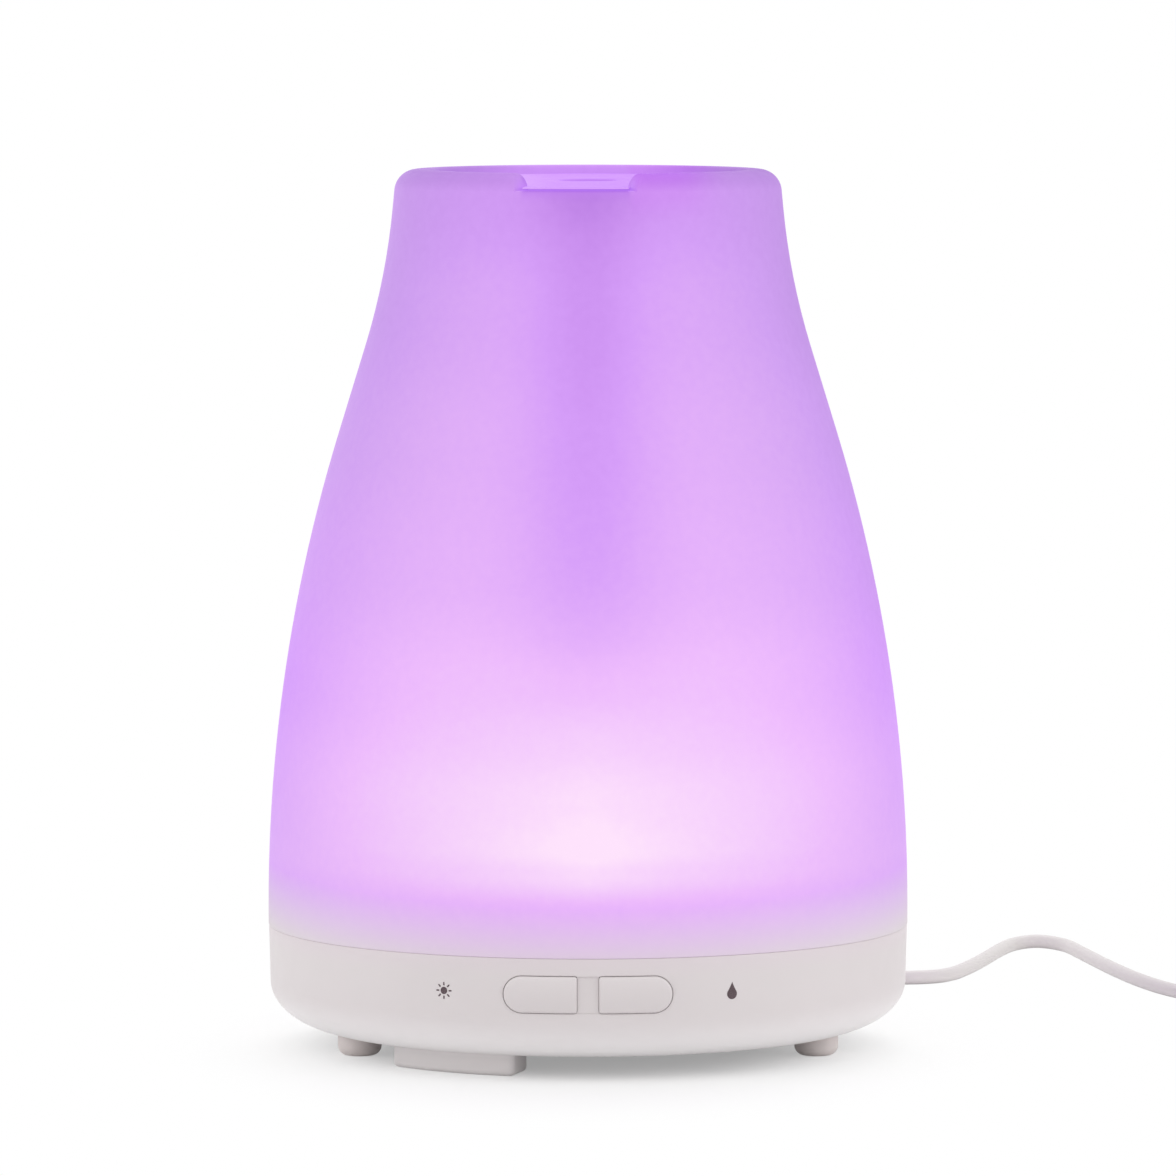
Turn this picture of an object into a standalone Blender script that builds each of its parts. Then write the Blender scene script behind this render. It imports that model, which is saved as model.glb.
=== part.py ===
"""Essential oil diffuser: a base with tank, fan and ultrasonic disc, a lift-off cover and a power lead.

Metres, +Z up. The origin is the centre of the floor under the feet and the buttons face -Y. Azimuths are
degrees round the Z axis, from the front towards +X.
"""

from math import acos, asin, ceil, cos, pi, radians, sin, sqrt, tan

import bmesh
import bpy
from mathutils import Matrix, Vector

# Clearances
GAP = 0.0003  # between neighbouring pieces that are fixed together
LOOSE = 0.0005  # round what is put in or lifted off by hand

# Outside of the base
COVER_RADIUS = 0.0501
COVER_PROUD = 0.0002  # the cover stands this far outside the base
SEAM_HEIGHT = 0.0194
FOOT_HEIGHT = 0.0032
WALL_TAPER = 0.0002
ROUNDING_WIDTH = 0.0110
ROUNDING_HEIGHT = 0.0073
SHELL_WALL = 0.0025
RIM_WALL = 0.0018

# Bottom cover
PLATE_INSET = 0.0077
PLATE_THICKNESS = 0.0024
LIP_WIDTH = 0.0022
LIP_THICKNESS = 0.0015
FOOT_RADIUS = 0.0034
FOOT_MARGIN = 0.0010
FOOT_RECESS = 0.0006
FOOT_EDGE = 0.0012
FOOT_AZIMUTHS = {"side_foot_left": -70.5, "side_foot_right": 70.5, "rear_foot": 180}
BLOCK_WIDTH = 0.0075  # radial width of the moulded standing block
BLOCK_MARGIN = 0.0017
BLOCK_AZIMUTHS = (-48.5, -16.3)
GRILLE_SLOT = 0.0016
GRILLE_PITCH = 0.0032
GRILLE_SLOTS = 6

# Base screws and the bosses that they go into
BOSS_RADIUS = 0.0032
BOSS_AZIMUTHS = (32, 110, 195, 275)
SCREW_RADIUS = 0.0013
SCREW_LENGTH = 0.0090
SCREW_HEAD_RADIUS = 0.0025
SCREW_HEAD = 0.0010
HEAD_SINK = 0.0014

# Collar and tank
DECK_DROP = 0.0019  # from the seam down to the underside of the collar's deck
DECK_THICKNESS = 0.0015
COLLAR_WALL = 0.0020
COLLAR_HEIGHT = 0.0116  # above the seam
TANK_WALL = 0.0015
TANK_HEIGHT = 0.0070  # above the collar
WELL_HOLE = 0.0080
CHIMNEY_CLEAR = 0.00147  # between the chimney and the well for the disc
CHIMNEY_WALL = 0.0012
CHIMNEY_HEIGHT = 0.0060  # above the tank's rim
NOZZLE_WALL = 0.0012
NOZZLE_LAP = 0.0045
NOZZLE_HEIGHT = 0.0055  # above the chimney
NOZZLE_ROOF = 0.0015
NOZZLE_MOUTH = 0.0096

# Ultrasonic disc
DISC_RADIUS = 0.0097
DISC_THICKNESS = 0.0010
SEAL_LIP = 0.00045
SEAL_REACH = 0.0014  # how far the seal's lips reach over the disc
SEAL_WALL = 0.0007
CLAMP_THICKNESS = 0.0009
CLAMP_HOLE = 0.0055
WELL_WALL = 0.0050
CLAMP_SCREW_RADIUS = 0.0008
CLAMP_HEAD_RADIUS = 0.0017
CLAMP_HEAD = 0.0010
CLAMP_SCREW_AZIMUTHS = (60, 180, 300)

# Fan and duct
FAN_AZIMUTH = -120
FAN_INNER = 0.01217  # from the axis to the nearer side of the fan
FAN_THICKNESS = 0.0070
FAN_RIM = 0.0009  # between the fan's bore and the middle of each side
FAN_BASE = 0.0011
FAN_CORNER = 0.0020
FAN_HOLE_INSET = 0.0025
FAN_HOLE = 0.0014
STATOR_RADIUS = 0.0045
SHAFT_RADIUS = 0.00075
HUB_WALL = 0.0007
HUB_TOP = 0.0007
BLADES = 7
BLADE_THICKNESS = 0.0007
BLADE_HEIGHT = 0.0038
BLADE_PITCH = 38
DUCT_TAPER = 0.0015

# Lights
LED_COUNT = 6
LED_FIRST = -70
LED_STEP = 50
LED_SIZE = 0.0035
LED_CORNER = 0.0005
LED_HEIGHT = 0.0012
LED_HEADROOM = 0.0004
LED_BOARD = 0.0008
LED_BOARD_MARGIN = 0.0015
LED_BOARD_GAP = 3  # degrees between the duct and each end of the lights' board
LED_POSTS = (-45, 55, 155)
POST_RADIUS = 0.0016
PIN_RADIUS = 0.0008

# Main board
BOARD_THICKNESS = 0.0016
BOARD_LIFT = 0.0014
BOARD_LEFT = 0.0030
BOARD_MARGIN = 0.0040
BOARD_CORNER = 0.0015
SINK_SIZE = (0.0110, 0.0090, 0.0046)
SINK_BASE = 0.0014
SINK_FIN = 0.0010
SINK_FINS = 5
SINK_PLACE = -1 / 2  # along the board, as a share of its half length
INDUCTOR_RADIUS = 0.0040
INDUCTOR_HEIGHT = 0.0062
INDUCTOR_WAIST = 0.0028
INDUCTOR_FLANGE = 0.0012
INDUCTOR_PLACE = 1 / 6
CAPACITOR_RADIUS = 0.0032
CAPACITOR_HEIGHT = 0.0064
CAPACITOR_EDGE = 0.0004
CAPACITOR_PLACE = 2 / 3
CHIP_SIZE = (0.0060, 0.0050, 0.0014)
CHIP_CORNER = 0.0003

# Buttons and their switches
BUTTON_DROP = 0.0054  # centre of the buttons below the seam
WINDOW_LENGTH = 0.0257
WINDOW_HEIGHT = 0.0057
BRIDGE_WIDTH = 0.0032
BRIDGE_SINK = 0.00035
BUTTON_PROUD = 0.0004
BUTTON_TRAVEL = 0.0005
BUTTON_TIP = 0.0005  # height of the flat at a button's outer end
FLANGE_MARGIN = 0.0008
FLANGE_THICKNESS = 0.0008
PLUNGER_RADIUS = 0.0012
PLUNGER_LENGTH = 0.0006
STEM_RADIUS = 0.0015
STEM_LENGTH = 0.0020
STEM_SHOWN = 0.0008
SWITCH_SIZE = 0.0050
SWITCH_CORNER = 0.0005
SWITCH_DEPTH = 0.0033
SWITCH_BOARD = 0.0012
SWITCH_BOARD_LENGTH = 0.0270
SWITCH_BOARD_TONGUE = 0.0140
RIB_THICKNESS = 0.0015

# Socket and power plug
SOCKET_HEIGHT = 0.0122
SOCKET_WIDTH = 0.0090
SOCKET_TALL = 0.0078
SOCKET_DEPTH = 0.0110
SOCKET_SETBACK = 0.0018  # behind the inside of the wall
SOCKET_BORE_DEPTH = 0.0098
SOCKET_PIN = 0.0009
CRADLE_WIDTH = 0.0070
CRADLE_DEPTH = 0.0030
BARREL_RADIUS = 0.00275
BARREL_WALL = 0.0013
BARREL_LENGTH = 0.0092
PLUG_RADIUS = 0.0043
PLUG_LENGTH = 0.0170
PLUG_WAIST = 0.0026
PLUG_RELIEF = 0.0110

# Cover
BELLY_START = 0.0026  # height above the seam where the wall starts to lean in
BELLY_ARC = 0.2520
SLOPE_ANGLE = 17.1
SLOPE_LENGTH = 0.0142
NECK_ARC = 0.1080
NECK_ANGLE = 5.3
CREST_ROUND = 0.0035
TOTAL_HEIGHT = 0.1371
COVER_WALL = 0.0020
COVER_TURN = -3.8  # azimuth of the notch in the rim
CREST_FLAT = 0.00226  # between the round of the crest and the recess
RECESS_FRONT = 0.0024  # depth of the recess at its front
RECESS_BACK = 0.0013
INSERT_THICKNESS = 0.0020
SHELF_WIDTH = 0.0030
SHELF_THICKNESS = 0.0016
NOTCH_BOTTOM = 0.0170
NOTCH_TOP = 0.0200
TONGUE_THICKNESS = 0.0008
OUTLET_RADIUS = 0.0045
GUIDE_RADIUS = 0.0065
GUIDE_WALL = 0.0012
GUIDE_BOTTOM = 0.0700
GUIDE_SOCKET = 0.0030
GUIDE_SOCKET_WALL = 0.0015
KEY_WIDTH = 0.0034
KEY_DEPTH = 0.0008
KEY_HEIGHT = 0.0052

# Power cord, coil and adapter
CORD_RADIUS = 0.00115
CORD_SPACING = 0.0058
COIL_CENTRE = (0.1260, 0.0400)
COIL_RADIUS = 0.0132  # at the middle of the turns
COIL_WIDTH = 0.0094
COIL_BEVEL = 0.0018
TIE_THICKNESS = 0.0006
TIE_WIDTH = 0.0040
TIE_AZIMUTH = 200
ADAPTER_CENTRE = (0.1700, 0.0450)
ADAPTER_SIZE = (0.0360, 0.0620, 0.0280)
ADAPTER_SPLIT = 0.0170
ADAPTER_ROUND = 0.0030
ADAPTER_CORD_HEIGHT = 0.0090
RELIEF_LENGTH = 0.0180
RELIEF_ROOT = 0.0030
RELIEF_TIP = 0.0017
PRONG_SPACING = 0.0127
PRONG_SIZE = (0.0015, 0.0062, 0.0170)
PRONG_FORWARD = 0.0120
PRONG_SINK = 0.0007

SHARP_ANGLE = 35  # faces that meet at more degrees than this show an edge
SIDES = 40  # round a large piece
MEDIUM_SIDES = 20  # round the disc, the fan, the tubes and the plug
SMALL_SIDES = 14  # round feet, bosses and board parts
PIN_SIDES = 10  # round screws and pins

# Levels and radii that follow from the sizes above
BASE_RADIUS = COVER_RADIUS - COVER_PROUD
ROUNDING_RADIUS = BASE_RADIUS - WALL_TAPER
FLAT_RADIUS = ROUNDING_RADIUS - ROUNDING_WIDTH
UNDERSIDE = FOOT_HEIGHT
ROUNDING_TOP = UNDERSIDE + ROUNDING_HEIGHT
PLATE_RADIUS = ROUNDING_RADIUS - PLATE_INSET
PLATE_TOP = UNDERSIDE + PLATE_THICKNESS
LIP_RADIUS = PLATE_RADIUS - LIP_WIDTH
LIP_LOW = PLATE_TOP + GAP
LIP_TOP = LIP_LOW + LIP_THICKNESS
INNER_RADIUS = ROUNDING_RADIUS - SHELL_WALL
RIM_RADIUS = BASE_RADIUS - RIM_WALL
DECK_LOW = SEAM_HEIGHT - DECK_DROP
DECK_TOP = DECK_LOW + DECK_THICKNESS
SHELL_TOP = SEAM_HEIGHT - GAP / 2
COVER_BOTTOM = SEAM_HEIGHT + GAP / 2
FOOT_CIRCLE = PLATE_RADIUS - FOOT_RADIUS - FOOT_MARGIN
SCREW_CIRCLE = LIP_RADIUS - GAP - BOSS_RADIUS
DECK_OPENING = SCREW_CIRCLE - BOSS_RADIUS - GAP
COLLAR_RADIUS = COVER_RADIUS - COVER_WALL - LOOSE
COLLAR_TOP = SEAM_HEIGHT + COLLAR_HEIGHT
KEY_FACE = COLLAR_RADIUS - KEY_DEPTH  # from the axis to the inner faces of the cover's keys
TANK_FLANGE = KEY_FACE - GAP  # the keys pass outside the flange as the cover is lifted
TANK_RADIUS = COLLAR_RADIUS - COLLAR_WALL - GAP
TANK_UNDER = DECK_TOP + GAP
TANK_FLOOR = TANK_UNDER + TANK_WALL
TANK_TOP = COLLAR_TOP + TANK_HEIGHT
CHIMNEY_TOP = TANK_TOP + CHIMNEY_HEIGHT
SEAL_RADIUS = DISC_RADIUS + GAP + SEAL_WALL
SEAL_TOP = TANK_UNDER - GAP
SEAL_HEIGHT = DISC_THICKNESS + 2 * GAP + 2 * SEAL_LIP
SEAL_LOW = SEAL_TOP - SEAL_HEIGHT
WELL_INNER = SEAL_RADIUS + GAP
WELL_RADIUS = WELL_INNER + WELL_WALL
CLAMP_TOP = SEAL_LOW - GAP
CLAMP_LOW = CLAMP_TOP - CLAMP_THICKNESS
CLAMP_SCREW_CIRCLE = (WELL_INNER + WELL_RADIUS) / 2
FAN_LOW = PLATE_TOP + GAP
FAN_TOP = FAN_LOW + FAN_THICKNESS
FAN_REACH = LIP_RADIUS - GAP  # its two outer corners stand on this radius
FAN_SIZE = 0.8 * (sqrt(1.25 * FAN_REACH**2 - 0.25 * (FAN_INNER + GAP) ** 2) - FAN_INNER - GAP)
FAN_BORE = FAN_SIZE / 2 - FAN_RIM
FAN_OFFSET = FAN_INNER + FAN_SIZE / 2
CHIMNEY_RADIUS = FAN_OFFSET - WELL_RADIUS - CHIMNEY_CLEAR
CHIMNEY_BORE = CHIMNEY_RADIUS - CHIMNEY_WALL
LED_BOARD_TOP = TANK_UNDER - LED_HEADROOM - LED_HEIGHT - GAP
LED_BOARD_LOW = LED_BOARD_TOP - LED_BOARD
LED_BOARD_INNER = WELL_RADIUS + LED_BOARD_MARGIN
LED_BOARD_OUTER = DECK_OPENING - LED_BOARD_MARGIN
LED_CIRCLE = (LED_BOARD_INNER + LED_BOARD_OUTER) / 2
BOARD_LOW = PLATE_TOP + BOARD_LIFT + GAP
BOARD_TOP = BOARD_LOW + BOARD_THICKNESS
BUTTON_HEIGHT = SEAM_HEIGHT - BUTTON_DROP
BUTTON_MIDDLE = (BRIDGE_WIDTH / 2 + WINDOW_LENGTH / 2) / 2
SOCKET_FACE = INNER_RADIUS - SOCKET_SETBACK
SOCKET_BORE = BARREL_RADIUS + GAP
PLUG_FACE = SOCKET_FACE + GAP
PLUG_END = PLUG_FACE + PLUG_LENGTH + PLUG_RELIEF
COIL_LOW = TIE_THICKNESS + GAP

FACING_FRONT = Matrix.Rotation(radians(90), 4, "X")  # local Z points to -Y and local Y up
FACING_REAR = Matrix.Rotation(radians(-90), 4, "X")  # local Z points to +Y


def clear_scene():
    """Removes what the startup scene holds."""
    for obj in list(bpy.data.objects):
        bpy.data.objects.remove(obj)


def around(radius, azimuth, height=0.0):
    """The point at this radius, azimuth and height."""
    angle = radians(azimuth)
    return Vector((radius * sin(angle), -radius * cos(angle), height))


def finish(name, colour, roughness, metallic=0.0, alpha=1.0):
    """A Principled material."""
    made = bpy.data.materials.new(name)
    made.use_nodes = True
    shader = made.node_tree.nodes["Principled BSDF"]
    shader.inputs["Base Color"].default_value = (*colour, 1.0)
    shader.inputs["Roughness"].default_value = roughness
    shader.inputs["Metallic"].default_value = metallic
    shader.inputs["Alpha"].default_value = alpha
    made.diffuse_color = (*colour, alpha)
    return made


def pivot(name, location=(0.0, 0.0, 0.0), azimuth=0.0):
    """An empty that carries the pieces of one body; its local -Y points along the azimuth."""
    empty = bpy.data.objects.new(name, None)
    empty.empty_display_size = 0.01
    empty.location = location
    empty.rotation_euler.z = radians(azimuth)
    bpy.context.scene.collection.objects.link(empty)
    return empty


def mesh_from(name, bm):
    """Closes a bmesh into a smooth-shaded mesh with its faces pointing out."""
    bmesh.ops.recalc_face_normals(bm, faces=bm.faces)
    mesh = bpy.data.meshes.new(name)
    bm.to_mesh(mesh)
    bm.free()
    mesh.shade_smooth()
    mesh.set_sharp_from_angle(angle=radians(SHARP_ANGLE))
    return mesh


def piece(name, mesh, material, body, location=(0.0, 0.0, 0.0), azimuth=0.0):
    """One sub-part: a mesh, or a bmesh that becomes one, placed under its body's pivot."""
    if isinstance(mesh, bmesh.types.BMesh):
        mesh = mesh_from(name, mesh)
    if not mesh.materials:
        mesh.materials.append(material)
    obj = bpy.data.objects.new(name, mesh)
    obj.parent = body
    obj.location = location
    obj.rotation_euler.z = radians(azimuth)
    bpy.context.scene.collection.objects.link(obj)
    return obj


def combine(target, operation, bm):
    """Cuts the closed shapes of a bmesh out of a piece, or fuses them to it."""
    tool = piece(f"{target.name}_{operation.lower()}_tool", bm, None, target.parent)
    tool.location = target.location
    tool.rotation_euler = target.rotation_euler
    tool.hide_render = True
    tool.display_type = "WIRE"
    modifier = target.modifiers.new(operation.title(), "BOOLEAN")
    modifier.operation = operation
    modifier.solver = "EXACT"
    modifier.object = tool


def cut(target, bm):
    combine(target, "DIFFERENCE", bm)


def fuse(target, bm):
    combine(target, "UNION", bm)


def arc(centre, radii, start, end, steps):
    """Points of an elliptical arc in a plane, from one angle to another in degrees."""
    turns = [radians(start + (end - start) * i / steps) for i in range(steps + 1)]
    return [(centre[0] + radii[0] * cos(t), centre[1] + radii[1] * sin(t)) for t in turns]


def rounded_rectangle(width, height, corner, steps=4):
    """The outline of a rectangle round the origin with round corners."""
    outline = []
    for index, (sx, sy) in enumerate(((1, 1), (-1, 1), (-1, -1), (1, -1))):
        centre = (sx * (width / 2 - corner), sy * (height / 2 - corner))
        outline += arc(centre, (corner, corner), 90 * index, 90 * index + 90, steps)
    return outline


def ring_sector(inner, outer, start, end, steps):
    """The outline of a part of a flat ring between two azimuths."""
    turns = [start + (end - start) * i / steps for i in range(steps + 1)]
    outside = [around(outer, t).xy for t in turns]
    inside = [around(inner, t).xy for t in reversed(turns)]
    return outside + inside


def add_turned(bm, outline, centre=(0.0, 0.0), sides=SIDES, frame=Matrix()):
    """Turns an outline of (radius, height) points round Z; one that starts on the axis also ends on it."""
    ring = [bm.verts.new((radius, 0.0, height)) for radius, height in outline]
    closed = outline[0][0] > 0
    pairs = list(zip(ring, ring[1:])) + ([(ring[-1], ring[0])] if closed else [])
    edges = [bm.edges.new(pair) for pair in pairs]
    before = set(bm.verts) - set(ring)
    bmesh.ops.spin(
        bm, geom=ring + edges, axis=(0, 0, 1), cent=(0, 0, 0), angle=2 * pi, steps=sides, use_merge=True
    )
    made = [vert for vert in bm.verts if vert not in before]
    bmesh.ops.remove_doubles(bm, verts=made, dist=1e-7)
    made = [vert for vert in bm.verts if vert not in before]
    bmesh.ops.transform(bm, verts=made, matrix=Matrix.Translation((*centre, 0.0)) @ frame)


def add_prism(bm, outline, low, high, frame=Matrix()):
    """Extrudes an outline of (x, y) points from one height to another."""
    base = [bm.verts.new((x, y, low)) for x, y in outline]
    face = bm.faces.new(base)
    raised = bmesh.ops.extrude_face_region(bm, geom=[face])["geom"]
    top = [vert for vert in raised if isinstance(vert, bmesh.types.BMVert)]
    bmesh.ops.translate(bm, verts=top, vec=(0.0, 0.0, high - low))
    bmesh.ops.transform(bm, verts=base + top, matrix=frame)


def add_rod(bm, radius, low, high, centre=(0.0, 0.0), sides=SMALL_SIDES, frame=Matrix()):
    """A cylinder along Z."""
    outline = [(0.0, high), (radius, high), (radius, low), (0.0, low)]
    add_turned(bm, outline, centre, sides, frame)


def add_block(bm, low, high, frame=Matrix()):
    """A box between two corners."""
    outline = [(low[0], low[1]), (high[0], low[1]), (high[0], high[1]), (low[0], high[1])]
    add_prism(bm, outline, low[2], high[2], frame)


def tube_outline(inner, outer, low, high):
    """The section of a plain ring."""
    return [(outer, high), (outer, low), (inner, low), (inner, high)]


def rounding(outer_radius, inner_radius, steps):
    """The rounded underside between two radii, from the outside in."""
    shares = [(radius - FLAT_RADIUS) / ROUNDING_WIDTH for radius in (outer_radius, inner_radius)]
    start, end = (acos(min(1.0, share)) for share in shares)
    points = []
    for i in range(steps + 1):
        turn = start + (end - start) * i / steps
        across = FLAT_RADIUS + ROUNDING_WIDTH * cos(turn)
        points.append((across, ROUNDING_TOP - ROUNDING_HEIGHT * sin(turn)))
    return points


# Base


def stadium_half(side, inner, outer, half_height, steps):
    """Half of the button opening as (x, height) points: square at the middle, round at its outer end."""
    centre = outer - half_height
    points = [(inner, half_height)]
    points += arc((centre, 0.0), (half_height, half_height), 90, -90, steps)
    points.append((inner, -half_height))
    return [(side * x, BUTTON_HEIGHT + z) for x, z in points]


def base_shell(body, plastic):
    """The outer wall of the base, with the button windows in front and the plug hole behind."""
    opening = PLATE_RADIUS + GAP
    inner_width = INNER_RADIUS - FLAT_RADIUS
    inner_height = ROUNDING_HEIGHT - SHELL_WALL
    lip_turn = -asin((ROUNDING_TOP - LIP_TOP) / inner_height) * 180 / pi
    outline = [(BASE_RADIUS, SHELL_TOP)]
    outline += rounding(ROUNDING_RADIUS, opening, 6)
    outline += [(opening, LIP_LOW), (LIP_RADIUS, LIP_LOW), (LIP_RADIUS, LIP_TOP)]
    outline += arc((FLAT_RADIUS, ROUNDING_TOP), (inner_width, inner_height), lip_turn, 0, 3)
    outline += [(INNER_RADIUS, DECK_LOW - GAP), (RIM_RADIUS, DECK_LOW - GAP), (RIM_RADIUS, SHELL_TOP)]
    bm = bmesh.new()
    add_turned(bm, outline)
    shell = piece("base_shell", bm, plastic, body)
    cuts = bmesh.new()
    for side in (-1, 1):
        window = stadium_half(side, BRIDGE_WIDTH / 2, WINDOW_LENGTH / 2, WINDOW_HEIGHT / 2, 8)
        add_prism(cuts, window, INNER_RADIUS - SHELL_WALL, COVER_RADIUS + SHELL_WALL, FACING_FRONT)
    add_rod(
        cuts,
        PLUG_RADIUS + LOOSE,
        INNER_RADIUS - SHELL_WALL,
        COVER_RADIUS + SHELL_WALL,
        frame=Matrix.Translation((0, 0, SOCKET_HEIGHT)) @ FACING_REAR,
        sides=MEDIUM_SIDES,
    )
    cut(shell, cuts)
    recess = bmesh.new()
    half = WINDOW_HEIGHT / 2
    add_block(
        recess,
        (-BRIDGE_WIDTH / 2 - GAP, -COVER_RADIUS - SHELL_WALL, BUTTON_HEIGHT - half),
        (BRIDGE_WIDTH / 2 + GAP, -BASE_RADIUS + BRIDGE_SINK, BUTTON_HEIGHT + half),
    )
    cut(shell, recess)


def standing_block(bm):
    """The moulded block under the front of the bottom cover that reaches the floor with the feet."""
    outer = PLATE_RADIUS - BLOCK_MARGIN
    outline = ring_sector(outer - BLOCK_WIDTH, outer, *BLOCK_AZIMUTHS, 10)
    add_prism(bm, outline, 0.0, UNDERSIDE + PLATE_THICKNESS / 2)


def board_corners():
    """Half sizes and middle of the main board, which keeps clear of the bosses beside it."""
    right = SCREW_CIRCLE * sin(radians(BOSS_AZIMUTHS[1])) - BOSS_RADIUS - LOOSE
    half_length = SCREW_CIRCLE * cos(radians(BOSS_AZIMUTHS[0])) - BOSS_RADIUS - BOARD_MARGIN
    return (right - BOARD_LEFT) / 2, half_length, (right + BOARD_LEFT) / 2


def board_pins():
    """Where the main board is staked to the bottom cover."""
    half_width, half_length, middle = board_corners()
    inset = 2 * POST_RADIUS
    return [
        (middle + sx * (half_width - inset), sy * (half_length - inset)) for sx in (-1, 1) for sy in (-1, 1)
    ]


def fan_corners():
    """Where the fan is pinned, on its own axes."""
    inset = FAN_SIZE / 2 - FAN_HOLE_INSET
    return [(sx * inset, sy * inset) for sx in (-1, 1) for sy in (-1, 1)]


def fan_place():
    """Turns the fan's own axes to its place in the base."""
    turn = Matrix.Rotation(radians(FAN_AZIMUTH), 4, "Z")
    return Matrix.Translation(around(FAN_OFFSET, FAN_AZIMUTH)) @ turn


def switch_board_back():
    """Distance in front of the axis of the back of the switches."""
    flange_back = flange_front() - FLANGE_THICKNESS
    return flange_back - PLUNGER_LENGTH - GAP - STEM_SHOWN - SWITCH_DEPTH


def flange_front():
    """Distance in front of the axis of the button flanges, which stay clear of the curved wall."""
    reach = WINDOW_LENGTH / 2 + FLANGE_MARGIN
    return sqrt(INNER_RADIUS**2 - reach**2) - GAP


def bottom_cover(body, plastic):
    """The plate that closes the base, with its grille and the seats, pins and rib for what it carries."""
    bm = bmesh.new()
    outline = [(0.0, PLATE_TOP), (PLATE_RADIUS, PLATE_TOP)]
    outline += rounding(PLATE_RADIUS, FLAT_RADIUS, 2)
    outline.append((0.0, UNDERSIDE))
    add_turned(bm, outline)
    plate = piece("bottom_cover", bm, plastic, body)

    added = bmesh.new()
    inside = UNDERSIDE + PLATE_THICKNESS / 2
    standing_block(added)
    for x, y in board_pins():
        post = [(0.0, BOARD_TOP + BOARD_THICKNESS / 2), (PIN_RADIUS, BOARD_TOP + BOARD_THICKNESS / 2)]
        post += [(PIN_RADIUS, BOARD_LOW - GAP), (POST_RADIUS, BOARD_LOW - GAP), (POST_RADIUS, inside)]
        add_turned(added, post + [(0.0, inside)], (x, y), PIN_SIDES)
    for x, y in fan_corners():
        corner = fan_place() @ Vector((x, y, 0.0))
        add_rod(added, FAN_HOLE - GAP, inside, FAN_TOP - FAN_BASE, corner.xy, PIN_SIDES)
    add_block(
        added,
        (-CRADLE_WIDTH / 2, LIP_RADIUS - LOOSE - CRADLE_DEPTH, inside),
        (CRADLE_WIDTH / 2, LIP_RADIUS - 2 * LOOSE, SOCKET_HEIGHT - SOCKET_TALL / 2 - GAP),
    )
    board_back = switch_board_back() - GAP - SWITCH_BOARD
    rib = SWITCH_BOARD_TONGUE / 2
    add_block(added, (-rib, GAP - board_back, inside), (rib, GAP - board_back + RIB_THICKNESS, LIP_TOP))
    fuse(plate, added)

    cuts = bmesh.new()
    for azimuth in FOOT_AZIMUTHS.values():
        seat = around(FOOT_CIRCLE, azimuth).xy
        add_rod(cuts, FOOT_RADIUS + GAP, -FOOT_HEIGHT, UNDERSIDE + FOOT_RECESS, seat)
    for azimuth in BOSS_AZIMUTHS:
        bore, head_bore, seat = SCREW_RADIUS + GAP, SCREW_HEAD_RADIUS + GAP, UNDERSIDE + HEAD_SINK
        well = [(0.0, 2 * PLATE_TOP), (bore, 2 * PLATE_TOP), (bore, seat)]
        well += [(head_bore, seat), (head_bore, 0.0), (0.0, 0.0)]
        add_turned(cuts, well, around(SCREW_CIRCLE, azimuth).xy, SMALL_SIDES)
    for i in range(GRILLE_SLOTS):
        across = (i - (GRILLE_SLOTS - 1) / 2) * GRILLE_PITCH
        half = sqrt(FAN_BORE**2 - (abs(across) + GRILLE_SLOT / 2) ** 2) - PLATE_THICKNESS / 2
        low = (across - GRILLE_SLOT / 2, -half, 0.0)
        add_block(cuts, low, (across + GRILLE_SLOT / 2, half, 2 * PLATE_TOP), fan_place())
    cut(plate, cuts)


def foot_mesh():
    """A rubber foot with a rounded lower edge."""
    top = UNDERSIDE + FOOT_RECESS - GAP
    centre = (FOOT_RADIUS - FOOT_EDGE, FOOT_EDGE)
    outline = [(0.0, top), (FOOT_RADIUS, top)]
    outline += arc(centre, (FOOT_EDGE, FOOT_EDGE), 0, -90, 4)
    outline.append((0.0, 0.0))
    bm = bmesh.new()
    add_turned(bm, outline, sides=SMALL_SIDES)
    return mesh_from("foot", bm)


def feet(body, rubber):
    """The three round feet in their seats."""
    mesh = foot_mesh()
    for name, azimuth in FOOT_AZIMUTHS.items():
        piece(name, mesh, rubber, body, around(FOOT_CIRCLE, azimuth))


def screw_mesh(name, radius, length, head_radius, head, sides=PIN_SIDES):
    """A pan-head screw that points up, with the underside of its head at the origin."""
    outline = [(0.0, length), (radius / 2, length), (radius, length - radius), (radius, 0.0)]
    outline += [(head_radius, 0.0), (head_radius, -head / 2), (head_radius - head / 2, -head), (0.0, -head)]
    bm = bmesh.new()
    add_turned(bm, outline, sides=sides)
    return mesh_from(name, bm)


def base_screws(body, steel):
    """The four screws that hold the bottom cover to the collar's bosses."""
    mesh = screw_mesh("base_screw", SCREW_RADIUS, SCREW_LENGTH, SCREW_HEAD_RADIUS, SCREW_HEAD)
    seat = UNDERSIDE + HEAD_SINK - GAP
    for index, azimuth in enumerate(BOSS_AZIMUTHS):
        piece(f"base_screw_{index + 1}", mesh, steel, body, around(SCREW_CIRCLE, azimuth, seat))


# Collar, tank and ultrasonic disc


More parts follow.
